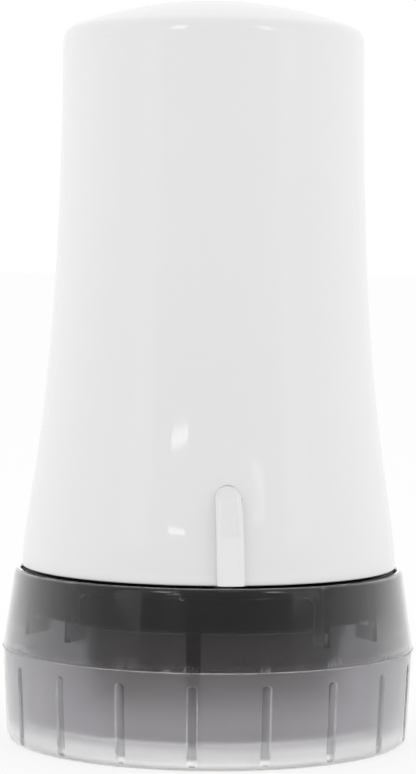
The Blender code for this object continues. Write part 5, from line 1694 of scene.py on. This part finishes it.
class STAMP_OT_finishes(bpy.types.Operator):
    """Make the finishes and give them to the frame's own pieces"""

    bl_idname = 'stamp.finishes'
    bl_label = 'Finishes'

    def execute(self, context):
        colours = context.scene.stamp_colours
        mould_grain_group()
        handling_group()
        tone_group()
        plastic_finish('Gloss white plastic', colours.white, 0.035, 300.0, 0.0005 * MM,
                       smudges=0.02, rubbing=0.01)
        plastic_finish('Satin black plastic', colours.black, 0.3, 700.0, 0.002 * MM, drift=0.1)
        plastic_finish('Satin grey plastic', colours.grey, 0.4, 900.0, 0.003 * MM, drift=0.08)
        smoke_finish('Smoke plastic', colours.smoke, context.scene.stamp_cap)
        # The frosted flash's material also paints highlights on the rims of the grooves and pads.
        plastic_finish('Frosted flash', colours.flash, 0.5, 900.0, 0.01 * MM, drift=1.3,
                       drift_scale=400.0, clear=0.75)
        steel_finish('Bright steel', colours.steel)
        rubber_finish('Stamp rubber', colours.rubber, context.scene.stamp_die)
        foam_finish('Ink foam', colours.foam)
        for part in frame['record']['subparts']:
            wear(frame['nodes'][part['node']], SLOT_FINISHES[part['material_slot']])
        return {'FINISHED'}


class STAMP_OT_stage(bpy.types.Operator):
    """Set the white floor, the light from all sides and the camera"""

    bl_idname = 'stamp.stage'
    bl_label = 'Stage'

    def execute(self, context):
        studio = context.scene.stamp_studio
        front = Vector((math.sin(studio.azimuth), -math.cos(studio.azimuth), 0))
        self.floor()
        self.world(context.scene, studio, front)
        for name, settings in LAMPS.items():
            self.softbox(name, *settings)
        self.camera(context.scene, studio, front)
        context.scene.view_settings.view_transform = 'Standard'
        return {'FINISHED'}

    def floor(self):
        """A wide white sheet, lit through from below where it is seen, that keeps the shadow."""
        clear_selection()
        bpy.ops.mesh.primitive_circle_add(vertices=96, radius=6.0, fill_type='NGON')
        floor = settle(named('floor'))
        tree, shader, vector = new_finish('White floor')
        tone = place_group(tree, 'Tone drift', (-300, 100), vector, Color=FLOOR_WHITE,
                           Amount=0.01, Scale=4.0)
        rays = add_node(tree, 'ShaderNodeLightPath', (-900, -300)).outputs
        indirect = calculate(tree, (-600, -350), 'MAXIMUM', rays['Is Glossy Ray'],
                             rays['Is Transmission Ray'])
        glow = calculate(tree, (-350, -250), 'MULTIPLY_ADD', rays['Is Camera Ray'], FLOOR_GLOW,
                         indirect)
        own = calculate(tree, (-150, -100), 'SUBTRACT', 1.0, glow, use_clamp=True)
        dimmed = vector_math(tree, (50, 100), 'SCALE', tone, Scale=own)
        feed(tree, shader, {
            'Base Color': dimmed, 'Roughness': 0.9, 'Specular IOR Level': 0.0,
            'Emission Color': WHITE, 'Emission Strength': glow})
        wear(floor, 'White floor')

    def world(self, scene, studio, front):
        """White light tent, dimmer on the camera's side, and plain white where seen directly."""
        scene.world = bpy.data.worlds.new('Light tent')
        scene.world.use_nodes = True
        tree = scene.world.node_tree
        tree.nodes.clear()
        sky = add_node(tree, 'ShaderNodeTexCoord', (-900, -200)).outputs['Generated']
        opening = (front + Vector((0, 0, 0.5))).normalized()
        toward = vector_math(tree, (-700, -200), 'DOT_PRODUCT', sky, opening, output='Value')
        near = remap(tree, (-500, -300), toward, (0.2, 1.0),
                     (studio.fill, studio.fill * studio.opening_fill))
        far = remap(tree, (-500, -550), toward, (-1.0, -0.2), (studio.rear_fill, 1.0))
        around = calculate(tree, (-300, -400), 'MULTIPLY', near, far)
        gloss = remap(tree, (-500, -50), toward, (-0.7, 0.98), (1.0, studio.opening_gloss),
                      interpolation_type='SMOOTHSTEP')
        rays = add_node(tree, 'ShaderNodeLightPath', (-500, 350)).outputs
        indirect = mixed(tree, (-100, -100), rays['Is Glossy Ray'], around, gloss)
        direct = calculate(tree, (-100, 200), 'MAXIMUM', rays['Is Camera Ray'],
                           rays['Is Transmission Ray'])
        strength = mixed(tree, (200, 0), direct, indirect, 1.0)
        light = add_node(tree, 'ShaderNodeBackground', (500, 0),
                         {'Color': WHITE, 'Strength': strength})
        add_node(tree, 'ShaderNodeOutputWorld', (700, 0), {'Surface': light.outputs['Background']})

    def softbox(self, name, azimuth, elevation, size, brightness):
        """An area lamp in a direction from the stamp, as bright as so many white sheets."""
        azimuth, elevation = math.radians(azimuth), math.radians(elevation)
        aim = Vector((math.sin(azimuth) * math.cos(elevation),
                      -math.cos(azimuth) * math.cos(elevation), math.sin(elevation)))
        clear_selection()
        bpy.ops.object.light_add(type='AREA', location=LAMP_AIM + aim * LAMP_DISTANCE)
        lamp = bpy.context.object
        lamp.name = name
        lamp.data.shape = 'RECTANGLE'
        lamp.data.size, lamp.data.size_y = size
        lamp.data.energy = brightness * math.pi * size[0] * size[1]
        lamp.rotation_euler = (-aim).to_track_quat('-Z', 'Y').to_euler()

    def camera(self, scene, studio, front):
        """Camera at the photograph's viewing angle."""
        clear_selection()
        side = Vector((-front.y, front.x, 0))
        place = front * studio.distance + Vector((0, 0, studio.camera_height))
        bpy.ops.object.camera_add(location=place)
        camera = bpy.context.object
        camera.name = 'camera'
        camera.data.sensor_fit = 'VERTICAL'
        camera.data.sensor_height = 24.0
        camera.data.lens = studio.lens
        camera.data.clip_start = 0.01
        camera.data.clip_end = 20.0
        aim = Vector((0, 0, studio.aim_height)) + side * studio.aim_side - place
        turn = aim.to_track_quat('-Z', 'Y') @ Quaternion((0, 0, 1), studio.roll)
        camera.rotation_euler = turn.to_euler()
        scene.camera = camera


# Add-on


class STAMP_PT_panel(bpy.types.Panel):
    """Sidebar panel with the stamp's sizes and colours, and its pieces in the order of making"""

    bl_idname = 'STAMP_PT_panel'
    bl_label = 'Roller stamp'
    bl_space_type = 'VIEW_3D'
    bl_region_type = 'UI'
    bl_category = 'Roller stamp'

    def draw(self, context):
        for label, group in PROPERTY_GROUPS.items():
            box = self.layout.box()
            box.label(text=group.__doc__)
            for key in group.__annotations__:
                box.prop(getattr(context.scene, label), key)
        for operator in OPERATORS:
            self.layout.operator(operator.bl_idname)


PROPERTY_GROUPS = {
    'stamp_housing': HousingSizes,
    'stamp_cap': CapSizes,
    'stamp_lever': LeverSizes,
    'stamp_die': DieSizes,
    'stamp_ink': InkRollerSizes,
    'stamp_chassis': ChassisSizes,
    'stamp_colours': FinishColours,
    'stamp_studio': StudioSettings,
}
OPERATORS = (STAMP_OT_finishes, STAMP_OT_housing, STAMP_OT_lever, STAMP_OT_cap, STAMP_OT_die,
             STAMP_OT_drum, STAMP_OT_ink_roller, STAMP_OT_axles, STAMP_OT_cartridge,
             STAMP_OT_chassis, STAMP_OT_stage)


def register():
    """Register the property groups, the operators and the panel."""
    for label, group in PROPERTY_GROUPS.items():
        bpy.utils.register_class(group)
        setattr(bpy.types.Scene, label, PointerProperty(type=group))
    for operator in OPERATORS:
        bpy.utils.register_class(operator)
    bpy.utils.register_class(STAMP_PT_panel)


def unregister():
    """Take the panel, the operators and the property groups away again."""
    bpy.utils.unregister_class(STAMP_PT_panel)
    for operator in reversed(OPERATORS):
        bpy.utils.unregister_class(operator)
    for label, group in reversed(PROPERTY_GROUPS.items()):
        delattr(bpy.types.Scene, label)
        bpy.utils.unregister_class(group)


def main():
    """Register the add-on and make every piece in order."""
    register()
    bpy.ops.stamp.finishes()
    bpy.ops.stamp.housing()
    bpy.ops.stamp.lever()
    bpy.ops.stamp.cap()
    bpy.ops.stamp.die()
    bpy.ops.stamp.drum()
    bpy.ops.stamp.ink_roller()
    bpy.ops.stamp.axles()
    bpy.ops.stamp.cartridge()
    bpy.ops.stamp.chassis()
    bpy.ops.stamp.stage()
    clear_selection()


if __name__ == '__main__':
    main()
